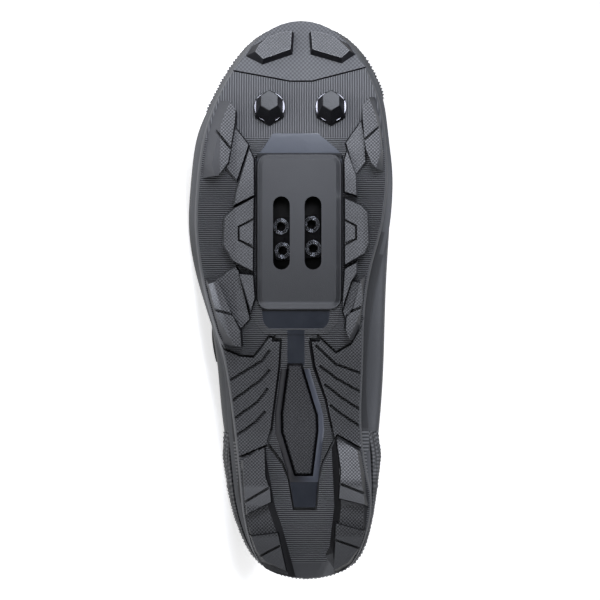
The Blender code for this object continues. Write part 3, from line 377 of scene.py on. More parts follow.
# The tongue: foam between a smooth face and a knitted lining, its edge bound. It closes the throat under the
# straps, and above them it swells and widens behind the collar's edges.
padding = Finish("tongue_fabric", (0.035, 0.036, 0.038), 0.85, sheen=0.3)
_, along, across = padding.place()[:3]
pores = abs(along.sine(2.6 * MM)) * abs(across.sine(2.6 * MM))
bound = (1 - along.over(0.345 * LENGTH, 0.5 * MM)) + abs(across).over(19.5 * MM, 0.5 * MM)
quilt = 1 - abs(abs(across) - 8 * MM).over(0.6 * MM, 0.6 * MM)
padding.relief(pores * (1 - bound) * 0.5 - quilt * (1 - bound) + bound * 0.4, 0.7 * MM)
cloth = padding.mix(pores, (0.018, 0.019, 0.020), (0.050, 0.052, 0.055))
padding.feed("Base Color", padding.mix(bound + quilt * 0.6, cloth, (0.020, 0.020, 0.021)))
padding.feed("Roughness", 0.85 - bound * 0.3)
WIDENING = (  # a share of the length, and how much wider than the solid the tongue is there
    (0.325, 0.86), (0.350, 0.97), (0.378, 1.36), (0.405, 1.60), (0.435, 1.15), (0.47, 1.0), (0.70, 1.0),
)
TONGUE_SWELL = 2.6 * MM
TONGUE_HALF = 21 * MM
TONGUE_TUCK = 0.8
SWELL_END = 0.42
shape = smoothed(rounded_form("tongue", 55, 0.4), 2)
for vertex in shape.verts:
    point = to_last @ vertex.co
    share = point.x / LENGTH
    for (start, narrow), (end, wide) in zip(WIDENING, WIDENING[1:]):
        if start <= share <= end:
            factor = narrow + (wide - narrow) * (share - start) / (end - start)
            tucked = max(factor - 1, 0.0) * abs(point.y) * TONGUE_TUCK
            swell = max(1 - (point.y * factor / TONGUE_HALF) ** 2, 0.0) * ramp(SWELL_END - share, 0, 0.05)
            point.y *= factor
            point.z -= tucked
            vertex.co = from_last @ point + vertex.normal * swell * TONGUE_SWELL
piece = piece_from(shape, "tongue_pad", padding, ["tongue"])

# The straps: three bands of coated webbing with hook-and-loop beneath, sewn down on the arch's side. A row of
# stitches runs along each edge, and between them the face is ribbed.
STRAP_WIDTH = 16 * MM
STRAP_LEADS = ((0.430, -0.25), (0.502, 0.0), (0.573, 0.15))  # a share of the length, and the free end's lead
STRAP_TOP = 78 * MM
for number, (place, lead) in enumerate(STRAP_LEADS, 1):
    webbing = Finish(f"strap_webbing_{number}", (0.032, 0.033, 0.035), 0.55)
    spot, along, across, up = webbing.place()
    lateral = 1 - across.over(-0.14 * BALL_WIDTH, 1 * MM)
    slid = lateral * (STRAP_TOP - up) / STRAP_TOP * lead * STRAP_WIDTH * 1.15
    edge = abs(along - place * LENGTH - slid)
    run = up - abs(across)
    rows = 1 - abs(edge - 5.9 * MM).over(0.35 * MM, 0.3 * MM)
    thread = rows * run.sine(STITCH).over(*STITCH_SHARE)
    ribs = (1 - edge.over(4.4 * MM, 0.4 * MM)) * (run.sine(1.8 * MM) * 0.5 + 0.5)
    surface = webbing.speckle(spot, 0.7 * MM, 3.0) * 0.2 + ribs * 0.5 + thread * 0.8 - rows * 0.3
    webbing.relief(surface, 0.4 * MM)
    base = webbing.mix(ribs, (0.026, 0.027, 0.029), (0.046, 0.047, 0.050))
    webbing.feed("Base Color", webbing.mix(thread, base, PALE_THREAD))
    name = f"strap_{number}"
    subdivided(piece_from(rounded_form(name, 50, 0.7), f"strap_band_{number}", webbing, [name]))

# The toe rand: moulded rubber glued round the toe, with upright ridges that a smooth line splits. They are
# lower at the toe's tip, and the rand thins out towards its ends.
ridged = Finish("rand_rubber", (0.055, 0.056, 0.058), 0.6)
spot = ridged.place()[0]
ridged.relief(ridged.speckle(spot, 0.6 * MM, 3.0), 0.1 * MM)
bars = ridged.kept("raised")
ridged.feed("Base Color", ridged.mix(bars, (0.020, 0.020, 0.021), (0.120, 0.122, 0.126)))
RAND_MIDDLE, RAND_RADIUS = 0.78 * LENGTH, 48 * MM
RAND_PITCH = 1.55 * MM
RAND_BAND = 9 * MM
RAND_DEPTH = 1.0 * MM
RAND_SINK = 0.25
RAND_TIP = 0.94
RAND_TAPER = 9 * MM
RAND_ENDS = {False: 0.81 * LENGTH, True: 0.84 * LENGTH}  # on the arch's side or not
WALL_THICK = 1.3 * MM
WALL_MIDDLE = 40 * MM  # the height on the last that the spokes to the shoe's wall start from


def finely_cut(name, cuts):
    """A CAD node cut finely enough for ridges of real depth, and its vertices' normals."""
    shape = joined(name)
    bmesh.ops.subdivide_edges(shape, edges=shape.edges, cuts=cuts, use_grid_fill=True, smooth=0.0)
    shape.normal_update()
    return shape


def ridge(shape, middle, radius, pitch, band, depth, sink=0.45, calm=2.0):
    """Raises ridges that run up the wall, a pitch apart round the shoe's end and split at each band of height.
    Beyond a calm share of the length they are lower. Each vertex keeps how far it is raised."""
    raised = shape.verts.layers.float.new("raised")
    for vertex in shape.verts:
        point = to_last @ vertex.co
        normal = to_last.to_3x3() @ vertex.normal
        spoke = Vector((point.x - middle, point.y, point.z - WALL_MIDDLE)).normalized()
        turned = math.atan2(point.y, abs(point.x - middle)) * radius
        bar = max(math.cos(turned * 2 * math.pi / pitch) + 0.3, 0.0) / 1.3
        split = min(abs(math.sin(point.z * math.pi / band)) * 4, 1.0)
        vertex[raised] = bar * split
        if normal.dot(spoke) > 0.15:
            lowered = 1 - 0.7 * ramp(point.x / LENGTH, calm - 0.01, 0.02)
            vertex.co += vertex.normal * depth * lowered * (bar * split - sink)


def thinned(shape, share):
    """Draws a wall in towards its end, by the share of its thickness that a function gives for a point."""
    for vertex in shape.verts:
        point = to_last @ vertex.co
        spoke = Vector((0, point.y, point.z - WALL_MIDDLE)).normalized()
        vertex.co -= from_last.to_3x3() @ spoke * WALL_THICK * share(point)


shape = finely_cut("toe_rand", 9)
ridge(shape, RAND_MIDDLE, RAND_RADIUS, RAND_PITCH, RAND_BAND, RAND_DEPTH, RAND_SINK, RAND_TIP)
thinned(shape, lambda point: 1 - ramp(point.x, RAND_ENDS[point.y > 0], RAND_TAPER))
piece_from(shape, "rand_ridges", ridged, ["toe_rand"])

# The heel counter: a stiff moulded shell glued round the heel, its face covered with short bars in rows. It
# thins out towards its front edge.
moulded = Finish("counter_plastic", (0.045, 0.046, 0.048), 0.5)
spot = moulded.place()[0]
moulded.relief(moulded.speckle(spot, 0.6 * MM, 3.0), 0.08 * MM)
bars = moulded.kept("raised")
moulded.feed("Base Color", moulded.mix(bars, (0.020, 0.020, 0.021), (0.150, 0.153, 0.158)))
COUNTER_MIDDLE, COUNTER_RADIUS = 0.16 * LENGTH, 38 * MM
BAR_PITCH = 1.6 * MM
BAR_BAND = 3.6 * MM
BAR_DEPTH = 0.55 * MM
COUNTER_FRONT = 0.255 * LENGTH
COUNTER_TAPER = 10 * MM
shape = finely_cut("heel_counter", 9)
ridge(shape, COUNTER_MIDDLE, COUNTER_RADIUS, BAR_PITCH, BAR_BAND, BAR_DEPTH)
thinned(shape, lambda point: ramp(point.x, COUNTER_FRONT - COUNTER_TAPER, COUNTER_TAPER))
piece_from(shape, "counter_shell", moulded, ["heel_counter"])

# The sole's body: a moulded frame whose lip holds the foot of the upper, with a chamfered rim that is painted
# lighter as a highlight, most of all on the outer side at the middle. A column of short bars goes on from the
# heel counter on each side.
HEEL_COLUMNS = ((28.4, 31.6, 34, 67), (-31.6, -28.6, 28, 62))  # from and to across, from and to along, in mm
midsole = Finish("midsole_rubber", (0.055, 0.056, 0.058), 0.5)
spot, along, across = midsole.place()[:3]
midsole.relief(midsole.speckle(spot, 0.5 * MM, 3.0), 0.08 * MM)
# Painted highlight: the rim's chamfer faces are lighter, and lighter still on the outer side at the middle.
rim = midsole.kept("rim")
rim_highlight_share = along.between(0.41 * LENGTH, 0.535 * LENGTH, 8 * MM) * (1 - across.over(0, 1 * MM))
rim_highlight_colour = midsole.mix(rim_highlight_share, (0.066, 0.068, 0.072), (0.120, 0.123, 0.129))
bars = along.sine(BAR_PITCH).over(0, 0.5)
columns = [
    across.between(low * MM, high * MM, 0.3 * MM) * along.between(rear * MM, fore * MM, 1 * MM)
    for low, high, rear, fore in HEEL_COLUMNS
]
wall = midsole.mix((columns[0] + columns[1]) * bars, (0.036, 0.037, 0.039), (0.140, 0.143, 0.148))
midsole.feed("Base Color", midsole.mix(rim, wall, rim_highlight_colour))
shape = rounded_form("sole", 24, 0.85)
rim_highlight_faces = shape.faces.layers.float.new("rim")
shape.normal_update()
for face in shape.faces:
    face[rim_highlight_faces] = float(0.3 < -face.normal.dot(last_up) < 0.93 and face.calc_area() < 60 * MM**2)
subdivided(piece_from(shape, "sole_frame", midsole, ["sole"]))

# The tread: hard rubber moulded in pieces and glued to the frame, with tall lugs round the edge, lower ones
# inside them, and fine ribs on the low ground between them.
SPRING_START = 0.70
TOE_SPRING = 18 * MM
ARCH_RISE = 7 * MM
ARCH_FROM, ARCH_TO = 0.14, 0.50
LUG_FACE = 8.5 * MM
RIB_PITCH = 0.95 * MM


def underside(x):
    """The height on the last of the underside of the sole's body."""
    share = x / LENGTH
    spring = max(share - SPRING_START, 0.0) / (1 - SPRING_START)
    arch = 0.0
    if ARCH_FROM < share < ARCH_TO:
        arch = (1 - math.cos(2 * math.pi * (share - ARCH_FROM) / (ARCH_TO - ARCH_FROM))) / 2
    return LUG_FACE + TOE_SPRING * spring**2 + ARCH_RISE * arch


def slope_at(x):
    """The slope of that underside, as an angle."""
    return math.atan2(underside(x + MM / 2) - underside(x - MM / 2), MM)


def edged(name, width, segments=2):
    """A CAD node with its sharp edges bevelled. It keeps each vertex's depth under the sole, and how far each
    face looks down from the sole and out from the shoe's middle."""
    shape = merged(name)
    bmesh.ops.dissolve_limit(shape, angle_limit=math.radians(1.5), verts=shape.verts, edges=shape.edges)
    closed = [edge for edge in shape.edges if len(edge.link_faces) == 2]
    sharp = [edge for edge in closed if edge.calc_face_angle() > math.radians(28)]
    bmesh.ops.bevel(
        shape, geom=sharp, offset=width, offset_type="OFFSET", affect="EDGES", segments=segments, profile=0.5,
        material=-1, clamp_overlap=True,
    )
    bmesh.ops.triangulate(shape, faces=[face for face in shape.faces if len(face.verts) > 4])
    depths = shape.verts.layers.float.new("depth")
    for vertex in shape.verts:
        point = to_last @ vertex.co
        vertex[depths] = (underside(point.x) - point.z) / MM
    facings = shape.faces.layers.float.new("facing")
    sideways = shape.faces.layers.float.new("outward")
    shape.normal_update()
    for face in shape.faces:
        centre = to_last @ face.calc_center_median()
        slope = slope_at(centre.x)
        down = Vector((math.sin(slope), 0, -math.cos(slope)))
        face[facings] = (to_last.to_3x3() @ face.normal).dot(down)
        face[sideways] = max(face.normal.dot(last_arch) * math.copysign(1, centre.y), 0.0)
    return shape


def crisp(piece):
    """Shades the faces of a piece with sharp edges evenly."""
    piece.data.set_sharp_from_angle(angle=math.radians(50))
    piece.modifiers.new("even faces", "WEIGHTED_NORMAL")
    return piece


WALL_LIMIT = 0.9  # a face that looks down from the sole by less than this is a wall
LUG_DEPTH = 2.9  # in mm, as the meshes keep it
MID_GROOVES = ((-27.9 * MM, 157.0 * MM), (25.5 * MM, 157.4 * MM))  # the outer end across, the middle along
# From and to where along the sole a lateral lug's face gets a painted highlight.
HIGHLIT_LUG = (106 * MM, 138 * MM)
DOTTED_LUG = (0.175 * LENGTH, 0.240 * LENGTH)


def tread_finish(name, low_relief):
    """Tread rubber: ribs on its low ground, a fine hatch on its lugs' faces, and smooth walls darkened as
    painted shade.
    """
    finish = Finish(name, (0.06, 0.06, 0.06), 0.55, specular=0.15)
    spot, along, across = finish.place()[:3]
    depth = finish.kept("depth")
    facing = finish.kept("facing")
    outward = finish.kept("outward")
    face = facing.over(WALL_LIMIT, 0.04)
    # Painted highlight: the bevelled rims round the tall lugs' faces are picked out.
    edge_highlight = facing.between(0.93, 0.985, 0.01) * depth.over(3.2, 0.3)
    flank = abs(across).over(36.3 * MM, 0.5 * MM) * along.over(0.70 * LENGTH, 1 * MM)
    low = (1 - depth.over(LUG_DEPTH, 0.4)) * face
    top = face * depth.over(LUG_DEPTH, 0.4)
    hatch = hatching(along, across, 1.6 * MM).over(0.5, 0.45) * hatched(along) * (1 - flank)
    outer = 1 - along.over(0.45 * LENGTH, 5 * MM) * (1 - abs(across).over(29 * MM, 1 * MM))
    pattern = low * low_relief(along, across) + top * hatch * 0.7
    grain = finish.speckle(spot, 0.5 * MM, 3.0)
    finish.relief(grain * 0.15 + pattern, 0.4 * MM)
    patches = finish.speckle(spot, 18 * MM)
    tops = finish.mix(patches, (0.066, 0.067, 0.070), (0.096, 0.098, 0.103))
    tops = finish.mix(hatch * (outer * 0.30 + 0.45) + flank * 0.66, tops, (0.006, 0.006, 0.007))
    beyond = 1 - (across + 31.4 * MM + (along - 108.4 * MM) * 0.31).over(0, 0.7 * MM)
    # Painted shade: a black line on the lugs' faces stands for each groove beside the cleat's cover.
    for end, middle in MID_GROOVES:
        outside = across * math.copysign(1, end)
        inward = abs(end) - outside
        lane = (outside - abs(end)).at_least(abs(along - middle) - 3.0 * MM - inward * 0.56)
        groove = (1 - abs(lane).over(0.5 * MM, 0.25 * MM)) * outside.between(17.4 * MM, 28.6 * MM, 0.3 * MM)
        tops = finish.mix(groove * along.between(146 * MM, 168 * MM, 1 * MM), tops, (0.002, 0.002, 0.002))
    # Painted highlight: past a slanting line on the outer side, one lug's face is lighter, most of all towards
    # the toe.
    lug_highlight = finish.mix(along.over(124 * MM, 10 * MM), (0.075, 0.077, 0.081), (0.175, 0.180, 0.190))
    tops = finish.mix(beyond * along.between(*HIGHLIT_LUG, 4 * MM) * 0.85, tops, lug_highlight)
    # Painted highlight on the tall lugs' bevelled rims.
    tops = finish.mix(edge_highlight, tops, (0.150, 0.153, 0.160))
    lows = finish.mix(pattern, (0.005, 0.005, 0.006), (0.075, 0.077, 0.081))
    ground = finish.mix(low, tops, lows)
    # Painted shade and light: the walls are near black, lighter where they face out from the shoe's middle,
    # less so at the toe.
    lit_wall_share = outward * (1 - along.over(0.86 * LENGTH, 2 * MM) * 0.8)
    walls = finish.mix(lit_wall_share, (0.003, 0.003, 0.004), (0.040, 0.041, 0.044))
    # Painted highlight: a lighter strip on the walls round the field in front of the cleat's cover.
    sill_highlight = along.between(0.768 * LENGTH, 0.802 * LENGTH, 0.5 * MM) * (1 - abs(across).over(19 * MM, 1 * MM))
    walls = finish.mix(sill_highlight, walls, (0.085, 0.088, 0.095))
    tone = along.over(0.10 * LENGTH, 18 * MM) * 0.30 + along.over(0.42 * LENGTH, 8 * MM) * 0.35 + 0.45
    tone = tone + along.over(0.73 * LENGTH, 12 * MM) * 0.6 + along.over(0.79 * LENGTH, 8 * MM) * low * 0.5
    tone = tone + (1 - along.over(0.25 * LENGTH, 5 * MM)) * low * 0.7
    tone = tone + along.between(*DOTTED_LUG, 2 * MM) * across.over(15 * MM, 2 * MM) * top * 1.2
    tone = tone + along.between(0.10 * LENGTH, 0.26 * LENGTH, 5 * MM) * top * 0.14
    finish.feed("Base Color", finish.scaled(finish.mix(face, walls, ground), tone))
    finish.feed("Roughness", grain * 0.15 + 0.45)
    return finish


def hatching(along, across, pitch):
    """Small raised squares that touch at their corners."""
    return along.sine(pitch) * across.sine(pitch) * 0.5 + 0.5


def hatched(along):
    """The lugs are hatched, apart from the rear halves of the heel's lugs, which are smooth."""
    bare = along.between(0.130 * LENGTH, 0.165 * LENGTH, 1 * MM) + (1 - along.over(0.075 * LENGTH, 1 * MM))
    return 1 - bare * 0.85


def toe_hatch(along, across):
    return hatching(along, across, 1.9 * MM) * 0.45 + 0.3


def heel_ribs(along, across):
    """Ribs across the sole, which end in a smooth strip at the back of the heel."""
    ribbed = along.over(7 * MM, 0.6 * MM)
    return ribbed * along.sine(RIB_PITCH) * 0.5 + ribbed * 0.1 + 0.4


def forefoot_ribs(along, across):
    """Ribs along the sole in front of the cleat's cover, and across it beside the cover."""
    front = along.over(0.79 * LENGTH, 1 * MM)
    return front * (across.sine(1.1 * MM) * 0.35 + 0.5) + (1 - front) * (along.sine(RIB_PITCH) * 0.5 + 0.5)


TREADS = {"toe_tread": toe_hatch, "forefoot_tread": forefoot_ribs, "heel_tread": heel_ribs}
for node_name, relief in TREADS.items():
    rubber = tread_finish(f"{node_name}_rubber", relief)
    crisp(piece_from(edged(node_name, 0.55 * MM, 3), f"{node_name}_lugs", rubber, [node_name]))

# The arch's wings: softer rubber beside the spine, cut by slanting ribs. Their edges are chamfered, so that
# the cuts look as wide and dark as in the photo.
for node_name in ("arch_tread_lateral", "arch_tread_medial"):
    wing = tread_finish(f"{node_name}_rubber", heel_ribs)
    crisp(piece_from(edged(node_name, 0.85 * MM, 1), f"{node_name}_ribs", wing, [node_name]))

# The shank: one plate of filled nylon from the cleat's place to the heel, which stiffens the sole. It is
# polished in front of and behind the cleat's cover, along the spine and behind the badge, and ribbed
# elsewhere.
FIELD_END = 113.6 * MM
FIELD_MIDDLE = -1.8 * MM
COVER_GAPS = ((121.5 * MM, 124 * MM), (191 * MM, 193.7 * MM))
nylon = Finish("shank_nylon", (0.022, 0.025, 0.031), 0.22)
spot, along, across = nylon.place()[:3]
front = along.over(0.60 * LENGTH, 1 * MM)
behind = along.between(FIELD_END, 0.485 * LENGTH, 0.2 * MM)
corner = (1 - (along - FIELD_END) / (4 * MM)).at_least(0.0)
off_middle = abs(across - FIELD_MIDDLE)
behind = behind * (1 - off_middle.over(along * 0.12 + 1.0 * MM - corner**2 * 2.3 * MM, 0.3 * MM))
spine = along.between(0.380 * LENGTH, 0.445 * LENGTH, 0.3 * MM) * (1 - off_middle.over(4.0 * MM, 0.4 * MM))
tail = along.between(0.125 * LENGTH, 0.181 * LENGTH, 0.3 * MM)
tail = tail * (1 - abs(across - 2.0 * MM).over(along * 0.131 + 0.95 * MM, 0.3 * MM))
polish = front + (1 - front) * (behind + (1 - behind) * (spine + (1 - spine) * tail))
clouds = nylon.speckle(spot, 9 * MM, 4.0)
ribs = heel_ribs(along, across)
gloss = nylon.mix(clouds, (0.007, 0.009, 0.014), (0.017, 0.020, 0.027))
# Painted reflection: the polished field in front of the cleat's cover is lighter and bluish.
gloss = nylon.mix(front * 0.75, gloss, (0.070, 0.078, 0.096))
# Painted shade: black lines where the cleat's cover meets the shank, in front of it and behind it.
gap_shade = along.between(*COVER_GAPS[0], 0.2 * MM) + along.between(*COVER_GAPS[1], 0.2 * MM)
gloss = nylon.mix(gap_shade * 0.85, gloss, (0.001, 0.001, 0.001))
matt = nylon.mix(ribs, (0.005, 0.005, 0.006), (0.065, 0.067, 0.070))
nylon.feed("Base Color", nylon.mix(polish, matt, gloss))
nylon.feed("Roughness", (1 - polish) * 0.25 + clouds * 0.15 + 0.25)
nylon.feed("Coat Weight", polish * 0.25)
nylon.relief((1 - polish) * ribs + nylon.speckle(spot, 5 * MM, 3.0) * 0.4, 0.3 * MM)
crisp(piece_from(edged("shank_plate", 0.25 * MM), "shank_gloss_plate", nylon, ["shank_plate"]))

# The badge: a raised bare panel on the arch's spine, hatched and matt. A black sheet of painted shade lies in
# the moat round it, and outside that the spine swells into a smooth frame that slopes away.
bare = Finish("badge_nylon", (0.05, 0.05, 0.052), 0.5)
_, along, across = bare.place()[:3]
weave = hatching(along, across, 1.6 * MM).over(0.5, 0.35)
bare.relief(weave, 0.25 * MM)
bare.feed("Base Color", bare.mix(weave, (0.005, 0.005, 0.006), (0.030, 0.031, 0.034)))
crisp(piece_from(edged("arch_badge", 0.35 * MM), "arch_panel", bare, ["arch_badge"]))

BADGE = [  # its corners, as shares of the length and of the ball's width
    (0.381, -0.050), (0.381, 0.000), (0.289, 0.075), (0.262, 0.078),
    (0.186, 0.052), (0.186, -0.018), (0.259, -0.080), (0.292, -0.082),
]
BADGE_CUTS = [place * 0.01 * LENGTH for place in range(19, 38, 2)]
MOAT = 1.3 * MM
MOAT_SKIN = 0.1 * MM
FRAME_WIDTH = 2.6 * MM
FRAME_FACE = 3.5 * MM
SHANK_FACE = 2.0 * MM


def onto_sole(shape):
    """Carries a flat shape, where Z is minus its depth under the sole, onto the sole's curved underside."""
    for vertex in shape.verts:
        x, y, depth = vertex.co.x, vertex.co.y, -vertex.co.z
        slope = slope_at(x)
        curved = Vector((x + depth * math.sin(slope), y, underside(x) - depth * math.cos(slope)))
        vertex.co = from_last @ curved


def cut_across(shape, places):
    """Cuts a flat shape across at places along the last, so that it can follow the sole's curve."""
    for place in places:
        everything = shape.verts[:] + shape.edges[:] + shape.faces[:]
        bmesh.ops.bisect_plane(shape, geom=everything, plane_co=(place, 0, 0), plane_no=(1, 0, 0))


def laid_skin(shape, places, thickness):
    """Makes a thin skin of a flat shape and lays it on the sole."""
    cut_across(shape, places)
    bmesh.ops.solidify(shape, geom=shape.faces[:], thickness=thickness)
    onto_sole(shape)


def outset(loop, distance):
    """Moves the vertices of a loop in the flat outwards, square to its edges."""
    points = [vertex.co.copy() for vertex in loop]
    for i, vertex in enumerate(loop):
        before = (points[i] - points[i - 1]).normalized()
        after = (points[(i + 1) % len(points)] - points[i]).normalized()
        out = (before + after).cross(Vector((0, 0, 1))).normalized()
        vertex.co += out * distance / max(out.dot(before.cross(Vector((0, 0, 1)))), 0.5)


frame_nylon = Finish("spine_frame_nylon", (0.026, 0.028, 0.032), 0.35)
spot, _, across = frame_nylon.place()[:3]
frame_nylon.relief(frame_nylon.speckle(spot, 0.6 * MM, 3.0), 0.05 * MM)
frame_nylon.feed("Roughness", frame_nylon.speckle(spot, 6 * MM, 3.0) * 0.2 + 0.25)
# Painted shade and highlight: the frame is near black on the outer side and lighter and bluish on the arch's
# side.
frame_light = across.over(2 * MM, 6 * MM)
frame_nylon.feed("Base Color", frame_nylon.mix(frame_light, (0.008, 0.008, 0.010), (0.050, 0.055, 0.070)))
shape = bmesh.new()
loops = []
for spread, depth in (
    (MOAT, SHANK_FACE + 0.1 * MM),
    (MOAT + 0.3 * MM, FRAME_FACE),
    (MOAT + FRAME_WIDTH, SHANK_FACE + 0.1 * MM),
    (MOAT + FRAME_WIDTH, SHANK_FACE - 0.3 * MM),
    (MOAT, SHANK_FACE - 0.3 * MM),
):
    loop = [shape.verts.new((a * LENGTH, c * BALL_WIDTH, -depth)) for a, c in BADGE]
    outset(loop, spread)
    loops.append([shape.edges.new((loop[i - 1], loop[i])) for i in range(len(loop))])
for low, high in zip(loops, loops[1:] + loops[:1]):
    bmesh.ops.bridge_loops(shape, edges=low + high)
everything = shape.verts[:] + shape.edges[:] + shape.faces[:]
bmesh.ops.bisect_plane(
    shape, geom=everything, plane_co=(0.377 * LENGTH, 0, 0), plane_no=(1, 0, 0), clear_outer=True
)
bmesh.ops.holes_fill(shape, edges=[edge for edge in shape.edges if edge.is_boundary], sides=8)
cut_across(shape, BADGE_CUTS)
bmesh.ops.recalc_face_normals(shape, faces=shape.faces)
onto_sole(shape)
crisp(piece_from(shape, "spine_frame", frame_nylon))

# Painted shade: a black sheet laid in the moat round the badge and in the grooves beside the wings.
shade_sheet = Finish("moat_shade", (0.0015, 0.0015, 0.002), 0.6, specular=0.1)
spot = shade_sheet.place()[0]
shade_sheet.relief(shade_sheet.speckle(spot, 1 * MM, 3.0), 0.05 * MM)
shape = bmesh.new()
loop = [shape.verts.new((a * LENGTH, c * BALL_WIDTH, -SHANK_FACE - 0.15 * MM)) for a, c in BADGE]
outset(loop, MOAT + 0.1 * MM)
shape.faces.new(loop)
laid_skin(shape, BADGE_CUTS, MOAT_SKIN)
piece_from(shape, "badge_moat_shade", shade_sheet)

# The grooves: a black sheet of painted shade runs between each wing of the arch and the spine, wide enough to
# show the wings' outline from afar. Each is given by the wing's inner edge and by how far the gap reaches from
# it, in mm.
WING_CUTS = [place * 0.01 * LENGTH for place in range(25, 43, 2)]
WING_EDGES = {
    -1.2: [(108.3, -9.9), (96.5, -10.3), (73.8, -13.2), (66.9, -14.1), (60.5, -22.3)],
    1.2: [(62.6, 23.9), (66.2, 18.2), (71.2, 14.4), (81.0, 12.4), (96.5, 6.9), (108.3, 5.1)],
}
for wide, inner_edge in WING_EDGES.items():
    shape = bmesh.new()
    nearer = [shape.verts.new((x * MM, y * MM, -SHANK_FACE - 0.2 * MM)) for x, y in inner_edge]
    farther = [shape.verts.new((x * MM, (y - wide) * MM, -SHANK_FACE - 0.2 * MM)) for x, y in inner_edge]
    for i in range(1, len(inner_edge)):
        shape.faces.new((nearer[i - 1], nearer[i], farther[i], farther[i - 1]))
    laid_skin(shape, WING_CUTS, MOAT_SKIN)
    bmesh.ops.recalc_face_normals(shape, faces=shape.faces)
    side_name = "lateral" if wide < 0 else "medial"
    piece_from(shape, f"wing_groove_shade_{side_name}", shade_sheet)

# The bridge behind the cleat's cover: the shank's ribbed skin runs over the tread's edge there, round the
# polished field.
BRIDGE_FACE = 2.42 * MM
SKIN = 0.15 * MM
BRIDGE = [(126.5, -20.5), (116.5, -20.5), (111.5, -16.0), (111.5, 12.5), (116.5, 17.0), (126.5, 19.0)]
shape = bmesh.new()
shape.faces.new([shape.verts.new((x * MM, y * MM, -BRIDGE_FACE)) for x, y in BRIDGE])
laid_skin(shape, (114 * MM, 117 * MM, 120 * MM, 123 * MM), SKIN)
crisp(piece_from(shape, "shank_bridge", nylon))

# The field in front of the cover: the shank's polish reaches under the tread's edge there, so that no gap
# shows round it.
FIELD_FACE = 2.1 * MM
FIELD = [(192.0, -20.4), (192.0, 19.6), (195.1, 17.9), (203.2, 8.6), (203.2, -12.7), (195.1, -17.9)]
shape = bmesh.new()
shape.faces.new([shape.verts.new((x * MM, y * MM, -FIELD_FACE)) for x, y in FIELD])
laid_skin(shape, (194 * MM, 197 * MM, 200 * MM), SKIN)
bmesh.ops.recalc_face_normals(shape, faces=shape.faces)
crisp(piece_from(shape, "shank_field", nylon))

# The cleat's cover: a moulded plate with a sloping border and two slots, matt with a fine grain. It is
# darkened towards the heel as painted shade, and its rear lip is lighter as a painted highlight.
COVER_LIP = 0.4945 * LENGTH
cover = Finish("cover_nylon", (0.042, 0.043, 0.046), 0.45)
spot, along = cover.place()[:2]
cover.relief(cover.speckle(spot, 0.4 * MM, 3.0), 0.06 * MM)
rubbed = cover.speckle(spot, 20 * MM, 3.0)
dirt = cover.mix(rubbed, (0.040, 0.041, 0.044), (0.050, 0.052, 0.056))
lip_highlight = 1 - along.over(COVER_LIP, 0.7 * MM)
# Painted shade and highlight: darker towards the heel, and a lighter band on the rear lip.
cover.feed("Base Color", cover.scaled(dirt, along.over(0.60 * LENGTH, 30 * MM) * 0.35 + 0.62 + lip_highlight * 0.9))
crisp(piece_from(edged("cleat_plate", 0.4 * MM, 3), "cleat_cover", cover, ["cleat_plate"]))

# The nut plate: pressed steel with four threaded nuts, which slides behind the slots. The ends of the threads
# show as bright rings round black bores.
steel = Finish("nut_steel", (0.012, 0.012, 0.013), 0.35, metallic=1.0)
spot = steel.place()[0]
steel.feed("Roughness", steel.speckle(spot, 1.5 * MM, 3.0) * 0.25 + 0.2)
crisp(piece_from(edged("nut_plate", 0.25 * MM), "threaded_nuts", steel, ["nut_plate"]))

NUT_CENTRE = Vector((0.611 * LENGTH, -0.014 * BALL_WIDTH, 0))
NUT_TURN = math.radians(-4.0)
NUT_FACE = 3.4 * MM
NUT_ROWS = (-5.5 * MM, 5.5 * MM)
NUT_SIDES = (-7 * MM, 7 * MM)
THREAD_RINGS = ((3.5, 0.1), (2.95, 0.15), (2.4, 0.1), (2.0, -0.4))  # radius and height on the nut, in mm
THREAD_WIRE = 0.1 * MM
shape = bmesh.new()
for row in NUT_ROWS:
    for side in NUT_SIDES:
        place = Matrix.Translation(NUT_CENTRE) @ Matrix.Rotation(NUT_TURN, 4, "Z") @ Vector((row, side, 0))
        for radius, depth in THREAD_RINGS:
            ring = bmesh.ops.create_circle(
                shape, cap_ends=False, segments=6, radius=THREAD_WIRE,
                matrix=Matrix.Translation(place + Vector((radius * MM, 0, -NUT_FACE - depth * MM)))
                @ Matrix.Rotation(math.pi / 2, 4, "X"),
            )
            edges = list({edge for vertex in ring["verts"] for edge in vertex.link_edges})
            bmesh.ops.spin(
                shape, geom=edges, cent=place, axis=(0, 0, 1), angle=2 * math.pi, steps=28, use_merge=True
            )
bmesh.ops.recalc_face_normals(shape, faces=shape.faces)
onto_sole(shape)
polished = Finish("thread_steel", (0.22, 0.23, 0.255), 0.15, metallic=1.0)
spot = polished.place()[0]
polished.feed("Roughness", polished.speckle(spot, 1.0 * MM, 3.0) * 0.2 + 0.08)
piece_from(shape, "nut_threads", polished)

# The slots' shade: a black sheet behind the nut plate, painted shade that makes the slots look deep.
slot_shade_finish = Finish("slot_shade_black", (0.004, 0.004, 0.004), 0.7, specular=0.1)
spot = slot_shade_finish.place()[0]
slot_shade_finish.relief(slot_shade_finish.speckle(spot, 1 * MM, 3.0), 0.05 * MM)
SHADE_SHEET_CENTRE = (0.619 * LENGTH, -0.014 * BALL_WIDTH, -0.12 * MM)
SHADE_SHEET_SIZE = (36 * MM, 28 * MM, 0.1 * MM)
shape = bmesh.new()
bmesh.ops.create_cube(
    shape, size=1.0, matrix=Matrix.Translation(SHADE_SHEET_CENTRE) @ Matrix.Diagonal((*SHADE_SHEET_SIZE, 1))
)
bmesh.ops.bevel(
    shape, geom=[edge for edge in shape.edges if abs(edge.verts[0].co.z - edge.verts[1].co.z) > 0.05 * MM],
    offset=2 * MM, offset_type="OFFSET", affect="EDGES", segments=4, profile=0.5, material=-1,
)
onto_sole(shape)
piece_from(shape, "slot_shade_sheet", slot_shade_finish)

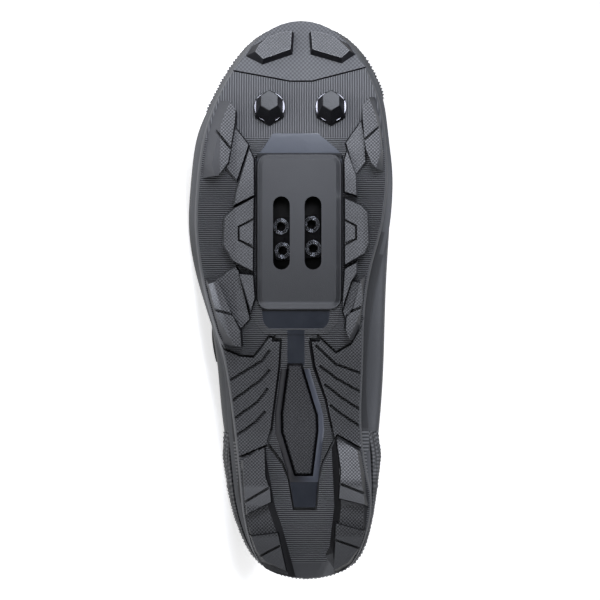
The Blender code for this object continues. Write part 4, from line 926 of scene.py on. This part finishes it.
# The toe studs: two hard six-sided studs, screwed into steel inserts whose rims show at their feet.
black = Finish("stud_plastic", (0.003, 0.003, 0.004), 0.35, specular=0.2)
spot = black.place()[0]
black.relief(black.speckle(spot, 0.6 * MM, 3.0), 0.1 * MM)
# Painted light: the studs' faces that look down from the sole are lighter than their near-black sides.
lit_stud_top = black.kept("facing").over(0.93, 0.03)
black.feed("Base Color", black.mix(lit_stud_top, (0.003, 0.003, 0.004), (0.045, 0.047, 0.050)))
STUD_SWELL = 1.12
STUD_LEAN = 0.2
STUD_SHEAR = 0.14
WASHER_RADIUS = 7.2 * MM
WASHER_THICK = 0.5 * MM
WASHER_RISE = 2.4 * MM
bright = Finish("washer_steel", (0.10, 0.10, 0.11), 0.15, metallic=1.0)
spot = bright.place()[0]
bright.feed("Roughness", bright.speckle(spot, 2 * MM, 3.0) * 0.25 + 0.12)
for node_name in ("toe_stud_lateral", "toe_stud_medial"):
    shape = edged(node_name, 0.8 * MM, 3)
    points = [to_last @ vertex.co for vertex in shape.verts]
    middle = sum((Vector(point) for point in points), Vector()) / len(points)
    axis = (from_last.to_3x3() @ Vector((math.sin(STUD_LEAN), 0, -math.cos(STUD_LEAN)))).normalized()
    centre = from_last @ middle
    for vertex in shape.verts:
        away = vertex.co - centre
        along_axis = axis * away.dot(axis)
        vertex.co = centre + along_axis + (away - along_axis) * STUD_SWELL
        vertex.co += last_toe * STUD_SHEAR * away.dot(axis)
    foot = min((vertex.co - centre).dot(axis) for vertex in shape.verts)
    crisp(piece_from(shape, f"{node_name}_hex", black, [node_name]))
    shape = bmesh.new()
    upright = axis.to_track_quat("Z", "Y").to_matrix().to_4x4()
    bmesh.ops.create_cone(
        shape, cap_ends=True, segments=40, radius1=WASHER_RADIUS, radius2=WASHER_RADIUS - WASHER_THICK,
        depth=WASHER_THICK, matrix=Matrix.Translation(centre + axis * (foot + WASHER_RISE)) @ upright,
    )
    crisp(piece_from(shape, f"{node_name}_washer", bright))

# The studio: a pale sweep under and behind the shoe, a soft lamp beyond the toe, broader ones on the arch's
# side and beyond the heel, and a camera square on to the sole.
def add(data, name, matrix):
    made = bpy.data.objects.new(name, data)
    made.matrix_world = matrix
    bpy.context.scene.collection.objects.link(made)
    return made


paper = Finish("backdrop_paper", (0.9, 0.9, 0.9), 0.9)
paper.surface["Emission Color"].default_value = (1.0, 1.0, 1.0, 1)
paper.surface["Emission Strength"].default_value = 0.7
shape = bmesh.new()
FLOOR = 8  # the studio's sizes are in metres
REACH = 4
CURVE = 0.8
STEPS = 11
WALL_TOP = 4.0
strip = [shape.verts.new((-FLOOR, -FLOOR, 0)), shape.verts.new((FLOOR, -FLOOR, 0))]
front = shape.edges.new(strip)
for step in range(STEPS + 2):
    turned = math.pi / 2 * max(step - 1, 0) / STEPS
    reach = REACH + CURVE * math.sin(turned)
    height = CURVE * (1 - math.cos(turned))
    rim = bmesh.ops.extrude_edge_only(shape, edges=[front])["geom"]
    for vertex in (item for item in rim if isinstance(item, bmesh.types.BMVert)):
        vertex.co.y = reach
        vertex.co.z = height
    front = next(item for item in rim if isinstance(item, bmesh.types.BMEdge))
rim = bmesh.ops.extrude_edge_only(shape, edges=[front])["geom"]
for vertex in (item for item in rim if isinstance(item, bmesh.types.BMVert)):
    vertex.co.z = WALL_TOP
mesh = bpy.data.meshes.new("backdrop")
shape.to_mesh(mesh)
shape.free()
mesh.polygons.foreach_set("use_smooth", [True] * len(mesh.polygons))
mesh.materials.append(paper.material)
add(mesh, "backdrop", Matrix())

world = bpy.data.worlds.new("studio")
world.use_nodes = True
world.node_tree.nodes["Background"].inputs["Color"].default_value = (1.0, 1.0, 1.0, 1)
world.node_tree.nodes["Background"].inputs["Strength"].default_value = 0.15
bpy.context.scene.world = world
bpy.context.scene.view_settings.view_transform = "Standard"


def lamp(name, place, target, size, power):
    data = bpy.data.lights.new(name, "AREA")
    data.shape = "DISK"
    data.size = size
    data.energy = power
    data.color = (0.94, 0.97, 1.07)
    towards = Vector(target) - Vector(place)
    turned = towards.to_track_quat("-Z", "Y").to_matrix().to_4x4()
    return add(data, name, Matrix.Translation(place) @ turned)


middle = from_last @ Vector((0.5 * LENGTH, 0, LUG_FACE))
lamp("toe_light", middle - last_up * 0.32 + last_toe * 0.30 + last_arch * 0.06, middle, 0.22, 1.9)
lamp("arch_light", middle + last_arch * 0.9 - last_up * 0.3, middle, 0.5, 4)
lamp("heel_light", middle - last_toe * 0.9 - last_up * 0.35 + Vector((0, 0, 0.15)), middle, 0.5, 1.5)

DISTANCE = 2.6
SENSOR = 36
SEEN = 273.9 * MM  # how much of the sole's length and width fills the image
lens = bpy.data.cameras.new("camera")
lens.sensor_width = SENSOR
lens.lens = SENSOR * DISTANCE / SEEN
lens.clip_start = 0.05
aim = from_last @ Vector((0.4986 * LENGTH, 0, LUG_FACE))
view = Matrix((last_arch, last_toe, -last_up)).transposed().to_4x4()
view.translation = aim - last_up * DISTANCE
bpy.context.scene.camera = add(lens, "camera", view)
